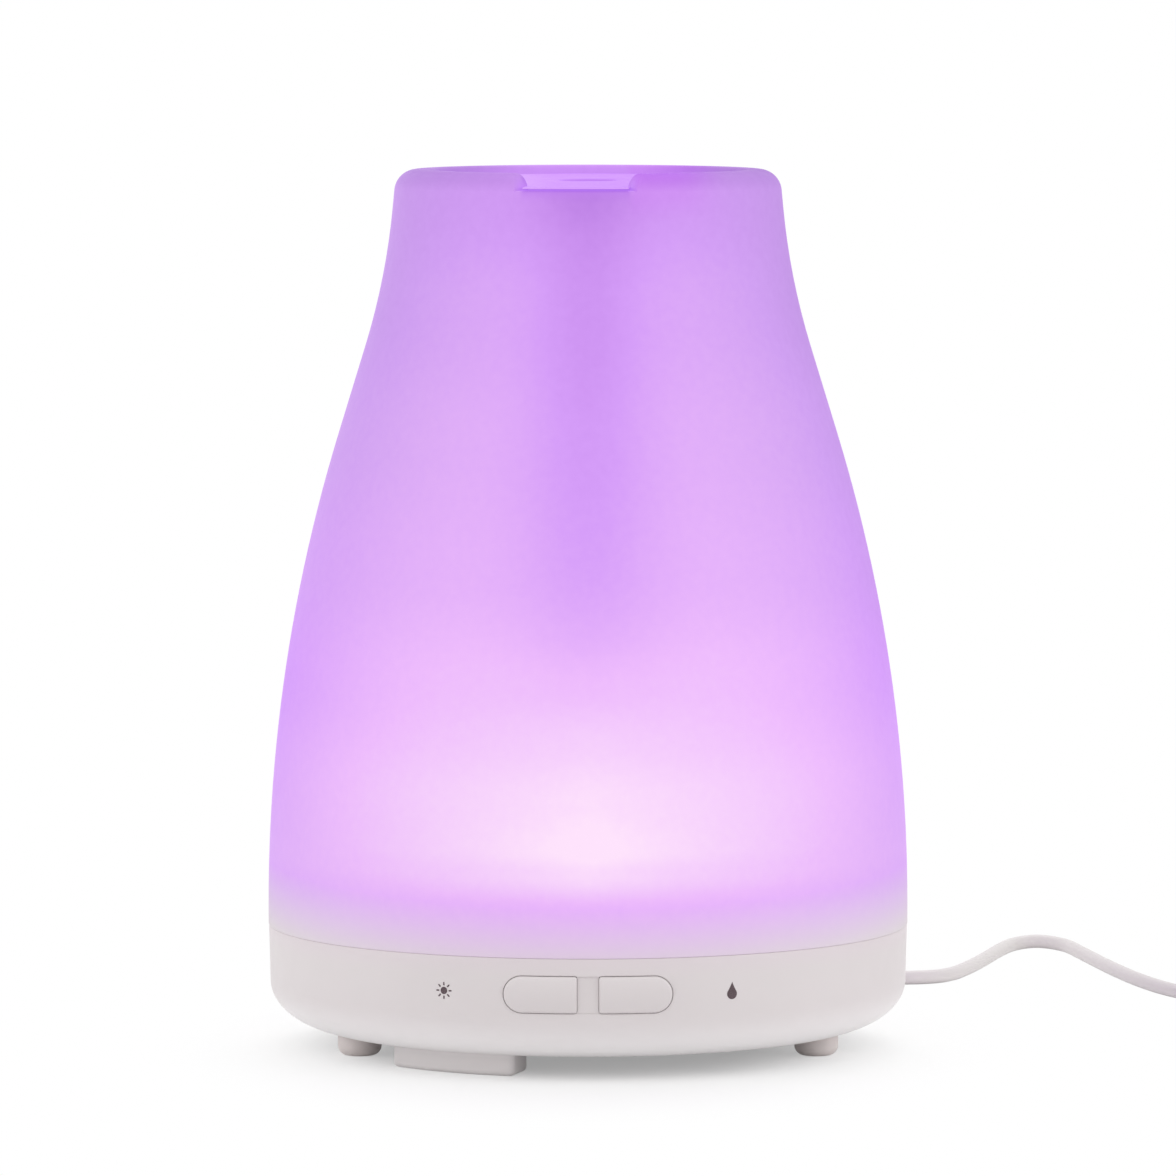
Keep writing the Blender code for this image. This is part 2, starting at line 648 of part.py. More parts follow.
def tank_collar(body, plastic):
    """The opaque ring that carries the tank, guides the cover and holds the screw bosses."""
    inner = COLLAR_RADIUS - COLLAR_WALL
    outline = [(COLLAR_RADIUS, COLLAR_TOP), (COLLAR_RADIUS, DECK_LOW), (DECK_OPENING, DECK_LOW)]
    outline += [(DECK_OPENING, DECK_TOP), (inner, DECK_TOP), (inner, COLLAR_TOP)]
    bm = bmesh.new()
    add_turned(bm, outline)
    collar = piece("tank_collar", bm, plastic, body)
    bosses = bmesh.new()
    holes = bmesh.new()
    hole_top = UNDERSIDE + HEAD_SINK + SCREW_LENGTH + GAP
    for azimuth in BOSS_AZIMUTHS:
        place = around(SCREW_CIRCLE, azimuth).xy
        add_rod(bosses, BOSS_RADIUS, PLATE_TOP + GAP, DECK_LOW + DECK_THICKNESS / 2, place)
        add_rod(holes, SCREW_RADIUS + GAP, 0.0, hole_top, place, PIN_SIDES)
    for side in (-90, 90):
        turn = Matrix.Rotation(radians(COVER_TURN + side), 4, "Z")
        half = KEY_WIDTH / 2 + GAP
        bottom = KEY_FACE - GAP
        add_block(holes, (-half, -2 * bottom, DECK_TOP + GAP), (half, -bottom, 2 * COLLAR_TOP), turn)
    fuse(collar, bosses)
    cut(collar, holes)


def water_tank(body, plastic):
    """The translucent bowl, with the well for the disc below and the air chimney."""
    inner = TANK_RADIUS - TANK_WALL
    flange_low = COLLAR_TOP + GAP
    outline = [(WELL_HOLE, TANK_FLOOR), (inner - TANK_WALL, TANK_FLOOR), (inner, TANK_FLOOR + TANK_WALL)]
    outline += [(inner, TANK_TOP), (TANK_RADIUS, TANK_TOP), (TANK_RADIUS, flange_low + TANK_WALL)]
    outline += [(TANK_FLANGE, flange_low + TANK_WALL), (TANK_FLANGE, flange_low), (TANK_RADIUS, flange_low)]
    outline += [(TANK_RADIUS, TANK_UNDER), (WELL_RADIUS, TANK_UNDER), (WELL_RADIUS, SEAL_LOW)]
    outline += [(WELL_INNER, SEAL_LOW), (WELL_INNER, TANK_UNDER), (WELL_HOLE, TANK_UNDER)]
    bm = bmesh.new()
    add_turned(bm, outline)
    tank = piece("water_tank", bm, plastic, body)
    chimney = around(FAN_OFFSET, FAN_AZIMUTH).xy
    inside = TANK_UNDER + TANK_WALL / 2
    added = bmesh.new()
    add_rod(added, CHIMNEY_RADIUS, inside, CHIMNEY_TOP, chimney, MEDIUM_SIDES)
    for azimuth in LED_POSTS:
        post = [(0.0, inside), (POST_RADIUS, inside), (POST_RADIUS, LED_BOARD_TOP + GAP)]
        post += [(PIN_RADIUS, LED_BOARD_TOP + GAP), (PIN_RADIUS, LED_BOARD_LOW - LED_BOARD)]
        post.append((0.0, LED_BOARD_LOW - LED_BOARD))
        add_turned(added, post, around(LED_CIRCLE, azimuth).xy, PIN_SIDES)
    fuse(tank, added)
    cuts = bmesh.new()
    add_rod(cuts, CHIMNEY_BORE, 0.0, 2 * CHIMNEY_TOP, chimney, MEDIUM_SIDES)
    for azimuth in CLAMP_SCREW_AZIMUTHS:
        hole = around(CLAMP_SCREW_CIRCLE, azimuth).xy
        add_rod(cuts, CLAMP_SCREW_RADIUS + GAP, 0.0, TANK_UNDER, hole, PIN_SIDES)
    cut(tank, cuts)


def air_nozzle(body, plastic):
    """The cap on the chimney, which blows the fan's air sideways over the water."""
    inner = CHIMNEY_RADIUS + GAP
    outer = inner + NOZZLE_WALL
    top = CHIMNEY_TOP + NOZZLE_HEIGHT
    ceiling = top - NOZZLE_ROOF
    outline = [(0.0, top), (outer - NOZZLE_WALL / 2, top), (outer, top - NOZZLE_WALL / 2)]
    outline += [(outer, CHIMNEY_TOP - NOZZLE_LAP), (inner, CHIMNEY_TOP - NOZZLE_LAP)]
    outline += [(inner, ceiling), (0.0, ceiling)]
    bm = bmesh.new()
    add_turned(bm, outline, sides=MEDIUM_SIDES)
    nozzle = piece("air_nozzle", bm, plastic, body, around(FAN_OFFSET, FAN_AZIMUTH), FAN_AZIMUTH)
    mouth = bmesh.new()
    half = NOZZLE_MOUTH / 2
    add_block(mouth, (0.0, -half, CHIMNEY_TOP + GAP), (2 * outer, half, ceiling - GAP))
    cut(nozzle, mouth)


def ultrasonic_disc(body, ceramic, rubber, steel):
    """The disc, its rubber seal, and the clamp plate with its screws."""
    disc_low = SEAL_LOW + SEAL_LIP + GAP
    bm = bmesh.new()
    add_rod(bm, DISC_RADIUS, disc_low, disc_low + DISC_THICKNESS, sides=MEDIUM_SIDES)
    piece("ultrasonic_disc", bm, ceramic, body)

    groove = DISC_RADIUS + GAP
    lip = groove - SEAL_REACH
    outline = [(SEAL_RADIUS, SEAL_TOP), (SEAL_RADIUS, SEAL_LOW), (lip, SEAL_LOW)]
    outline += [(lip, SEAL_LOW + SEAL_LIP), (groove, SEAL_LOW + SEAL_LIP)]
    outline += [(groove, SEAL_TOP - SEAL_LIP), (lip, SEAL_TOP - SEAL_LIP), (lip, SEAL_TOP)]
    bm = bmesh.new()
    add_turned(bm, outline, sides=MEDIUM_SIDES)
    piece("disc_seal", bm, rubber, body)

    bm = bmesh.new()
    add_turned(bm, tube_outline(CLAMP_HOLE, WELL_RADIUS, CLAMP_LOW, CLAMP_TOP), sides=MEDIUM_SIDES)
    clamp = piece("disc_clamp", bm, steel, body)
    holes = bmesh.new()
    length = TANK_UNDER - GAP - CLAMP_LOW + GAP
    screw = screw_mesh("clamp_screw", CLAMP_SCREW_RADIUS, length, CLAMP_HEAD_RADIUS, CLAMP_HEAD)
    for index, azimuth in enumerate(CLAMP_SCREW_AZIMUTHS):
        place = around(CLAMP_SCREW_CIRCLE, azimuth, CLAMP_LOW - GAP)
        add_rod(holes, CLAMP_SCREW_RADIUS + GAP, 0.0, TANK_TOP, place.xy, PIN_SIDES)
        piece(f"clamp_screw_{index + 1}", screw, steel, body, place)
    cut(clamp, holes)


# Fan


def fan_frame(body, plastic):
    """The square frame with its spokes and the fixed stator."""
    bm = bmesh.new()
    add_prism(bm, rounded_rectangle(FAN_SIZE, FAN_SIZE, FAN_CORNER, 3), FAN_LOW, FAN_TOP)
    frame = piece("fan_frame", bm, plastic, body)
    bore = bmesh.new()
    add_rod(bore, FAN_BORE, 0.0, 2 * FAN_TOP, sides=MEDIUM_SIDES)
    for corner in fan_corners():
        add_rod(bore, FAN_HOLE, 0.0, 2 * FAN_TOP, corner, PIN_SIDES)
    cut(frame, bore)
    spokes = bmesh.new()
    half = BLADE_THICKNESS
    reach = FAN_BORE + GAP
    for azimuth in (0, 120, 240):
        turn = Matrix.Rotation(radians(azimuth), 4, "Z")
        root = BLADE_THICKNESS - STATOR_RADIUS
        add_block(spokes, (-half, -reach, FAN_LOW), (half, root, FAN_LOW + FAN_BASE), turn)
    fuse(frame, spokes)
    stator = bmesh.new()
    top = FAN_TOP - HUB_TOP - GAP - LOOSE
    bearing = SHAFT_RADIUS + GAP
    outline = [(0.0, FAN_LOW + GAP), (bearing, FAN_LOW + GAP), (bearing, top)]
    outline += [(STATOR_RADIUS, top), (STATOR_RADIUS, FAN_LOW), (0.0, FAN_LOW)]
    add_turned(stator, outline, sides=MEDIUM_SIDES)
    fuse(frame, stator)


def fan_rotor(body, plastic):
    """The hub cup with its shaft and blades."""
    hub_inner = STATOR_RADIUS + LOOSE
    hub = hub_inner + HUB_WALL
    top = FAN_TOP - GAP
    low = FAN_LOW + FAN_BASE + LOOSE
    shaft_low = FAN_LOW + 2 * GAP
    outline = [(0.0, top), (hub - HUB_WALL / 2, top), (hub, top - HUB_WALL / 2), (hub, low), (hub_inner, low)]
    outline += [(hub_inner, top - HUB_TOP), (SHAFT_RADIUS, top - HUB_TOP), (SHAFT_RADIUS, shaft_low)]
    outline.append((0.0, shaft_low))
    bm = bmesh.new()
    add_turned(bm, outline, sides=MEDIUM_SIDES)
    rotor = piece("fan_rotor", bm, plastic, body)
    blades = bmesh.new()
    tip = FAN_BORE - LOOSE
    middle = (top + low) / 2
    for index in range(BLADES):
        turn = Matrix.Rotation(2 * pi * index / BLADES, 4, "Z")
        lean = Matrix.Translation((0, 0, middle)) @ Matrix.Rotation(radians(BLADE_PITCH), 4, "Y")
        low_corner = (-BLADE_THICKNESS / 2, -tip, -BLADE_HEIGHT / 2)
        high_corner = (BLADE_THICKNESS / 2, -hub + HUB_WALL / 2, BLADE_HEIGHT / 2)
        add_block(blades, low_corner, high_corner, turn @ lean)
    fuse(rotor, blades)


def fan_duct(body, plastic):
    """The funnel between the fan and the foot of the chimney."""
    low = FAN_TOP + GAP
    top = TANK_UNDER - GAP
    wide = FAN_BORE
    outline = [(CHIMNEY_RADIUS, top), (CHIMNEY_RADIUS, low + DUCT_TAPER + GAP)]
    outline += [(FAN_SIZE / 2 - GAP, low + GAP), (FAN_SIZE / 2 - GAP, low), (wide, low)]
    outline += [(CHIMNEY_BORE, low + DUCT_TAPER), (CHIMNEY_BORE, top)]
    bm = bmesh.new()
    add_turned(bm, outline, sides=MEDIUM_SIDES)
    piece("fan_duct", bm, plastic, body)


# Electronics


def led_board(body, board, lens):
    """The open ring of lights under the tank, which leaves room for the duct."""
    opening = asin((CHIMNEY_RADIUS + 2 * LOOSE) / FAN_OFFSET) * 180 / pi + LED_BOARD_GAP
    sector = ring_sector(
        LED_BOARD_INNER, LED_BOARD_OUTER, FAN_AZIMUTH + opening, FAN_AZIMUTH + 360 - opening, 28
    )
    bm = bmesh.new()
    add_prism(bm, sector, LED_BOARD_LOW, LED_BOARD_TOP)
    plate = piece("led_board", bm, board, body)
    holes = bmesh.new()
    for azimuth in LED_POSTS:
        add_rod(holes, PIN_RADIUS + GAP, 0.0, TANK_TOP, around(LED_CIRCLE, azimuth).xy, PIN_SIDES)
    cut(plate, holes)
    bm = bmesh.new()
    add_prism(bm, rounded_rectangle(LED_SIZE, LED_SIZE, LED_CORNER, 2), 0.0, LED_HEIGHT)
    mesh = mesh_from("led", bm)
    for index in range(LED_COUNT):
        azimuth = LED_FIRST + LED_STEP * index
        place = around(LED_CIRCLE, azimuth, LED_BOARD_TOP + GAP)
        piece(f"led_{index + 1}", mesh, lens, body, place, azimuth)


def main_board(body, board):
    """The circuit board staked to the bottom cover."""
    half_width, half_length, middle = board_corners()
    bm = bmesh.new()
    outline = rounded_rectangle(2 * half_width, 2 * half_length, BOARD_CORNER, 3)
    add_prism(bm, outline, BOARD_LOW, BOARD_TOP, Matrix.Translation((middle, 0, 0)))
    plate = piece("main_board", bm, board, body)
    holes = bmesh.new()
    for pin in board_pins():
        add_rod(holes, PIN_RADIUS + GAP, 0.0, TANK_TOP, pin, PIN_SIDES)
    cut(plate, holes)


def board_parts(body, metal, copper, can, chip):
    """What stands on the main board: heat sink, inductor, capacitor and controller."""
    half_width, half_length, middle = board_corners()
    seat = BOARD_TOP + GAP
    column = middle + half_width / 3
    width, depth, height = SINK_SIZE
    bm = bmesh.new()
    step = (width - SINK_FIN) / (SINK_FINS - 1)
    outline = [(-width / 2, 0.0), (width / 2, 0.0)]
    for index in range(SINK_FINS):
        right = width / 2 - index * step
        outline += [(right, height), (right - SINK_FIN, height)]
        if index < SINK_FINS - 1:
            outline += [(right - SINK_FIN, SINK_BASE), (right - step, SINK_BASE)]
    add_prism(bm, outline, -depth / 2, depth / 2, FACING_FRONT)
    piece("heat_sink", bm, metal, body, (column, half_length * SINK_PLACE, seat))

    waist_low = INDUCTOR_FLANGE
    waist_top = INDUCTOR_HEIGHT - INDUCTOR_FLANGE
    outline = [(0.0, INDUCTOR_HEIGHT), (INDUCTOR_RADIUS, INDUCTOR_HEIGHT), (INDUCTOR_RADIUS, waist_top)]
    outline += [(INDUCTOR_WAIST, waist_top), (INDUCTOR_WAIST, waist_low), (INDUCTOR_RADIUS, waist_low)]
    outline += [(INDUCTOR_RADIUS, 0.0), (0.0, 0.0)]
    bm = bmesh.new()
    add_turned(bm, outline, sides=SMALL_SIDES)
    piece("inductor", bm, copper, body, (column, half_length * INDUCTOR_PLACE, seat))

    outline = [(0.0, CAPACITOR_HEIGHT), (CAPACITOR_RADIUS - CAPACITOR_EDGE, CAPACITOR_HEIGHT)]
    outline += [(CAPACITOR_RADIUS, CAPACITOR_HEIGHT - CAPACITOR_EDGE), (CAPACITOR_RADIUS, 0.0), (0.0, 0.0)]
    bm = bmesh.new()
    add_turned(bm, outline, sides=SMALL_SIDES)
    piece("capacitor", bm, can, body, (column, half_length * CAPACITOR_PLACE, seat))

    length, depth, height = CHIP_SIZE
    bm = bmesh.new()
    add_prism(bm, rounded_rectangle(length, depth, CHIP_CORNER, 2), 0.0, height)
    piece("controller_chip", bm, chip, body, (middle - half_width / 2, 0.0, seat))


def button_switches(body, board, black):
    """The upright board behind the buttons and the bodies of its two switches."""
    front = switch_board_back() - GAP
    low = PLATE_TOP + GAP
    top = DECK_LOW - GAP
    half, tongue = SWITCH_BOARD_LENGTH / 2, SWITCH_BOARD_TONGUE / 2
    shoulder = LIP_TOP + GAP
    outline = [(-tongue, low), (tongue, low), (tongue, shoulder), (half, shoulder)]
    outline += [(half, top), (-half, top), (-half, shoulder), (-tongue, shoulder)]
    bm = bmesh.new()
    add_prism(bm, outline, front - SWITCH_BOARD, front, FACING_FRONT)
    piece("switch_board", bm, board, body)
    for name, side in (("light_switch", -1), ("mist_switch", 1)):
        bm = bmesh.new()
        outline = rounded_rectangle(SWITCH_SIZE, SWITCH_SIZE, SWITCH_CORNER, 2)
        add_prism(bm, outline, switch_board_back(), switch_board_back() + SWITCH_DEPTH, FACING_FRONT)
        switch = piece(name, bm, black, body, (side * BUTTON_MIDDLE, 0.0, BUTTON_HEIGHT))
        hole = bmesh.new()
        face = switch_board_back() + SWITCH_DEPTH
        depth = STEM_LENGTH - STEM_SHOWN + BUTTON_TRAVEL + GAP
        add_rod(hole, STEM_RADIUS + GAP, face - depth, face + depth, frame=FACING_FRONT, sides=MEDIUM_SIDES)
        cut(switch, hole)


def push_button(name, side, body, plastic, black):
    """A button cap with its flange and plunger, and the switch stem that it pushes."""
    inner = BRIDGE_WIDTH / 2 + GAP - BUTTON_MIDDLE
    outer = WINDOW_LENGTH / 2 - GAP - BUTTON_MIDDLE
    half = WINDOW_HEIGHT / 2 - GAP
    back = flange_front() - FLANGE_THICKNESS / 2
    crown = BASE_RADIUS + BUTTON_PROUD
    centre = outer - half
    stations = [(inner + (centre - inner) * i / 4, half) for i in range(4)]
    stations += [(centre + half * sin(radians(t)), half * cos(radians(t))) for t in range(0, 90, 15)]
    stations.append((outer, BUTTON_TIP / 2))
    bm = bmesh.new()
    rings = []
    for x, height in stations:
        front = sqrt(crown**2 - (x + BUTTON_MIDDLE) ** 2)
        corners = [(-front, height), (-front, -height), (-back, -height), (-back, height)]
        rings.append([bm.verts.new((side * x, y, z)) for y, z in corners])
    for ring, following in zip(rings, rings[1:]):
        for i in range(4):
            bm.faces.new((ring[i], ring[(i + 1) % 4], following[(i + 1) % 4], following[i]))
    bm.faces.new(rings[0])
    bm.faces.new(rings[-1])
    cap = piece(f"{name}_button", bm, plastic, body)

    flange = bmesh.new()
    reach = WINDOW_LENGTH / 2 + FLANGE_MARGIN - BUTTON_MIDDLE
    near = BRIDGE_WIDTH / 2 - FLANGE_MARGIN - BUTTON_MIDDLE
    low_x, high_x = sorted((side * near, side * reach))
    tall = WINDOW_HEIGHT / 2 + FLANGE_MARGIN - GAP
    front = -flange_front()
    add_block(flange, (low_x, front, -tall), (high_x, front + FLANGE_THICKNESS, tall))
    fuse(cap, flange)
    plunger = bmesh.new()
    root = flange_front() - FLANGE_THICKNESS / 2
    end = flange_front() - FLANGE_THICKNESS - PLUNGER_LENGTH
    add_rod(plunger, PLUNGER_RADIUS, end, root, frame=FACING_FRONT, sides=PIN_SIDES)
    fuse(cap, plunger)

    bm = bmesh.new()
    add_rod(bm, STEM_RADIUS, end - GAP - STEM_LENGTH, end - GAP, frame=FACING_FRONT, sides=MEDIUM_SIDES)
    piece(f"{name}_switch_stem", bm, black, body)


def dc_socket(body, black):
    """The round power socket behind the hole in the rear wall."""
    half = SOCKET_WIDTH / 2
    tall = SOCKET_TALL / 2
    bm = bmesh.new()
    add_block(bm, (-half, SOCKET_FACE - SOCKET_DEPTH, -tall), (half, SOCKET_FACE, tall))
    socket = piece("dc_socket", bm, black, body, (0.0, 0.0, SOCKET_HEIGHT))
    bore = bmesh.new()
    floor = SOCKET_FACE - SOCKET_BORE_DEPTH
    outline = tube_outline(SOCKET_PIN, SOCKET_BORE, floor, SOCKET_FACE + SOCKET_DEPTH)
    add_turned(bore, outline, sides=MEDIUM_SIDES, frame=FACING_REAR)
    trim = [(0.0, SOCKET_FACE + SOCKET_DEPTH), (SOCKET_BORE, SOCKET_FACE + SOCKET_DEPTH)]
    trim += [(SOCKET_BORE, SOCKET_FACE - LOOSE), (0.0, SOCKET_FACE - LOOSE)]
    cut(socket, bore)
    pin_end = bmesh.new()
    add_turned(pin_end, trim, sides=MEDIUM_SIDES, frame=FACING_REAR)
    cut(socket, pin_end)


# Cover


def cover_profile(inset):
    """The outside of the cover from its lower edge to its crest, moved inwards by a wall's thickness.

    It rises straight, bellies inwards in a wide arc, leans in straight, hollows to an upright neck, and ends
    in the round of the crest. Each point of the outside is moved square to the surface.
    """
    lean, neck = radians(SLOPE_ANGLE), radians(NECK_ANGLE)
    start = SEAM_HEIGHT + BELLY_START
    points = [((COVER_RADIUS, COVER_BOTTOM), 0.0)]
    centre = COVER_RADIUS - BELLY_ARC
    for i in range(7):
        t = lean * i / 6
        points.append(((centre + BELLY_ARC * cos(t), start + BELLY_ARC * sin(t)), t))
    radius, height = points[-1][0]
    radius, height = radius - SLOPE_LENGTH * sin(lean), height + SLOPE_LENGTH * cos(lean)
    hollow = (radius + NECK_ARC * cos(lean), height + NECK_ARC * sin(lean))
    for i in range(4):
        t = lean + (neck - lean) * i / 3
        points.append(((hollow[0] - NECK_ARC * cos(t), hollow[1] - NECK_ARC * sin(t)), t))
    radius, height = points[-1][0]
    crest = TOTAL_HEIGHT - CREST_ROUND
    round_start = crest + CREST_ROUND * sin(neck)
    radius -= (round_start - height) * tan(neck)
    middle = radius - CREST_ROUND * cos(neck)
    for i in range(6):
        t = neck + (pi / 2 - neck) * i / 5
        points.append(((middle + CREST_ROUND * cos(t), crest + CREST_ROUND * sin(t)), t))
    return [(x - inset * cos(t), z - inset * sin(t)) for (x, z), t in points]


def recess_radius():
    """The radius of the recess in the top of the cover."""
    return cover_profile(0.0)[-1][0] - CREST_FLAT


def recess_height(forward):
    """The height of the recess floor at a distance forward of the axis, along the azimuth of the notch."""
    share = (forward + recess_radius()) / (2 * recess_radius())
    return TOTAL_HEIGHT - RECESS_BACK - (RECESS_FRONT - RECESS_BACK) * share


def insert_bottom():
    """The height of the underside of the top insert."""
    return recess_height(recess_radius()) - INSERT_THICKNESS


def shelf_top():
    """The height of the shelf in the cover that carries the insert."""
    return insert_bottom() - GAP


def cover_shell(body, plastic):
    """The frosted cover with its rim, the notch in it, the insert's shelf and two keys."""
    shelf_low = shelf_top() - SHELF_THICKNESS
    outside = cover_profile(0.0)
    inside = [point for point in cover_profile(COVER_WALL) if point[1] < shelf_low]
    inside[0] = (inside[0][0], COVER_BOTTOM)
    opening = recess_radius() - SHELF_WIDTH
    (x0, z0), (x1, z1) = inside[-1], cover_profile(COVER_WALL)[len(inside)]
    under_shelf = x0 + (x1 - x0) * (shelf_low - z0) / (z1 - z0)
    outline = outside[::-1] + inside + [(under_shelf, shelf_low), (opening, shelf_low)]
    outline += [(opening, shelf_top()), (recess_radius(), shelf_top()), (recess_radius(), TOTAL_HEIGHT)]
    bm = bmesh.new()
    add_turned(bm, outline)
    shell = piece("cover_shell", bm, plastic, body)

    keys = bmesh.new()
    half = KEY_WIDTH / 2
    for side in (-90, 90):
        turn = Matrix.Rotation(radians(side), 4, "Z")
        low = (-half, COVER_WALL / 2 - COVER_RADIUS, COVER_BOTTOM + GAP)
        add_block(keys, low, (half, -KEY_FACE, COVER_BOTTOM + KEY_HEIGHT), turn)
    fuse(shell, keys)

    notch = bmesh.new()
    floor = recess_height(recess_radius()) - TONGUE_THICKNESS - GAP
    above = 2 * TOTAL_HEIGHT - recess_height(recess_radius())
    slope = (NOTCH_TOP - NOTCH_BOTTOM) / 2 / RECESS_FRONT
    narrow = NOTCH_BOTTOM / 2 - slope * (TONGUE_THICKNESS + GAP)
    wide = NOTCH_TOP / 2 + slope * RECESS_FRONT
    outline = [(-narrow, floor), (narrow, floor), (wide, above), (-wide, above)]
    add_prism(notch, outline, recess_radius() - SHELF_WIDTH, COVER_RADIUS, FACING_FRONT)
    cut(shell, notch)


def top_insert(body, plastic):
    """The sloping floor of the recess, with the mist outlet, a spout in the notch and the guide's socket."""
    radius = recess_radius() - GAP
    bm = bmesh.new()
    add_rod(bm, radius, insert_bottom(), TOTAL_HEIGHT, sides=SIDES)
    for vert in bm.verts:
        if vert.co.z > insert_bottom() + GAP:
            vert.co.z = recess_height(-vert.co.y)
    insert = piece("top_insert", bm, plastic, body)

    tongue = bmesh.new()
    top = recess_height(recess_radius())
    half = NOTCH_BOTTOM / 2 - 2 * GAP
    lip_radius = [x for x, z in cover_profile(0.0) if z < top][-1]
    spread = asin(half / lip_radius) * 180 / pi
    front = [around(lip_radius, spread * i / 4).xy for i in range(-4, 5)]
    outline = [(-half, -radius + SHELF_WIDTH)] + [tuple(point) for point in front]
    add_prism(tongue, outline + [(half, -radius + SHELF_WIDTH)], top - TONGUE_THICKNESS, top)
    fuse(insert, tongue)
    socket = bmesh.new()
    inner = GUIDE_RADIUS + GAP
    low = insert_bottom() - GUIDE_SOCKET
    sleeve = tube_outline(inner, inner + GUIDE_SOCKET_WALL, low, insert_bottom() + INSERT_THICKNESS / 2)
    add_turned(socket, sleeve, sides=MEDIUM_SIDES)
    fuse(insert, socket)
    outlet = bmesh.new()
    add_rod(outlet, OUTLET_RADIUS, 0.0, 2 * TOTAL_HEIGHT, sides=MEDIUM_SIDES)
    cut(insert, outlet)


def mist_guide(body, plastic):
    """The tube that leads the mist up to the outlet."""
    bm = bmesh.new()
    tube = tube_outline(GUIDE_RADIUS - GUIDE_WALL, GUIDE_RADIUS, GUIDE_BOTTOM, insert_bottom() - GAP)
    add_turned(bm, tube, sides=MEDIUM_SIDES)
    piece("mist_guide", bm, plastic, body)


# Power lead


def plug(body, rubber, metal):
    """The barrel plug in the socket and its overmould, which tapers to the cord."""
    grip = PLUG_FACE + PLUG_LENGTH
    outline = [(0.0, PLUG_END), (CORD_RADIUS + 2 * GAP, PLUG_END), (PLUG_WAIST, grip + LOOSE)]
    outline += [(PLUG_RADIUS - LOOSE, grip), (PLUG_RADIUS, grip - 2 * LOOSE)]
    outline += [(PLUG_RADIUS, PLUG_FACE + LOOSE), (PLUG_RADIUS - LOOSE, PLUG_FACE), (0.0, PLUG_FACE)]
    bm = bmesh.new()
    add_turned(bm, outline, sides=MEDIUM_SIDES, frame=FACING_REAR)
    piece("plug_body", bm, rubber, body)
    bm = bmesh.new()
    inner = BARREL_RADIUS - BARREL_WALL
    barrel = tube_outline(inner, BARREL_RADIUS, SOCKET_FACE - BARREL_LENGTH, SOCKET_FACE)
    add_turned(bm, barrel, sides=MEDIUM_SIDES, frame=FACING_REAR)
    piece("plug_barrel", bm, metal, body)


def lead_route():
    """The route of the cord from the plug to the coil, in the plug's own axes."""
    drop = -SOCKET_HEIGHT + CORD_RADIUS
    return [
        (0.0000, PLUG_END + GAP, 0.0),
        (0.0000, PLUG_END + 0.0040, -0.0003),
        (0.0010, PLUG_END + 0.0085, -0.0030),
        (0.0045, PLUG_END + 0.0130, -0.0072),
        (0.0110, 0.0898, drop + 0.0006),
        (0.0200, 0.0893, drop),
        (0.0300, 0.0859, drop),
        (0.0400, 0.0808, drop),
        (0.0480, 0.0777, drop),
        (0.0535, 0.0768, drop),
        (0.0580, 0.0786, drop),
        (0.0607, 0.0824, drop),
        (0.0628, 0.0880, drop),
        (0.0651, 0.0957, drop),
        (0.0674, 0.1046, drop),
        (0.0695, 0.1132, drop),
        (0.0719, 0.1215, drop),
        (0.0730, 0.1235, drop + 0.00008),
        (0.0748, 0.1249, drop + 0.00025),
        (0.0769, 0.1253, drop + 0.00036),
        (0.0790, 0.1249, drop + 0.00025),
        (0.0808, 0.1235, drop + 0.00008),
        (0.0819, 0.1215, drop),
        (0.0833, 0.1143, drop),
        (0.0847, 0.1062, drop),
        (0.0865, 0.0958, drop),
        (0.0885, 0.0854, drop),
        (0.0910, 0.0742, drop),
        (0.0945, 0.0627, drop),
        (0.0984, 0.0545, drop),
        (0.1030, 0.0490, drop),
        (0.1083, 0.0447, drop),
    ]


def adapter_route():
    """The route of the cord from the coil to the adapter, on the floor and up to the strain relief."""
    x, y = COIL_CENTRE
    end_x = ADAPTER_CENTRE[0]
    end_y = ADAPTER_CENTRE[1] - ADAPTER_SIZE[1] / 2 - GAP - RELIEF_LENGTH
    low = CORD_RADIUS - SOCKET_HEIGHT
    high = ADAPTER_CORD_HEIGHT - SOCKET_HEIGHT
    return [
        (x + 0.0121, y - 0.0138, low),
        (x + 0.0180, y - 0.0225, low),
        (x + 0.0215, y - 0.0330, low),
        (x + 0.0235, y - 0.0440, low),
        (x + 0.0280, y - 0.0540, low),
        (end_x - 0.0085, end_y - 0.0215, low),
        (end_x - 0.0025, end_y - 0.0190, low + 0.0008),
        (end_x, end_y - 0.0125, high - 0.0040),
        (end_x, end_y - 0.0055, high - 0.0008),
        (end_x, end_y - GAP, high),
    ]


def smooth_path(points, spacing):
    """Points at even steps on a smooth curve through the given ones (centripetal Catmull-Rom)."""
    knots = [Vector(point) for point in points]
    knots = [2 * knots[0] - knots[1]] + knots + [2 * knots[-1] - knots[-2]]
    dense = []
    for a, b, c, d in zip(knots, knots[1:], knots[2:], knots[3:]):
        t1 = (b - a).length ** 0.5
        t2 = t1 + (c - b).length ** 0.5
        t3 = t2 + (d - c).length ** 0.5
        for i in range(16):
            t = t1 + (t2 - t1) * i / 16
            ab = a + (b - a) * (t / t1)
            bc = b + (c - b) * ((t - t1) / (t2 - t1))
            cd = c + (d - c) * ((t - t2) / (t3 - t2))
            abc = ab + (bc - ab) * (t / t2)
            bcd = bc + (cd - bc) * ((t - t1) / (t3 - t1))
            dense.append(abc + (bcd - abc) * ((t - t1) / (t2 - t1)))
    dense.append(knots[-2])
    return even_steps(dense, spacing)


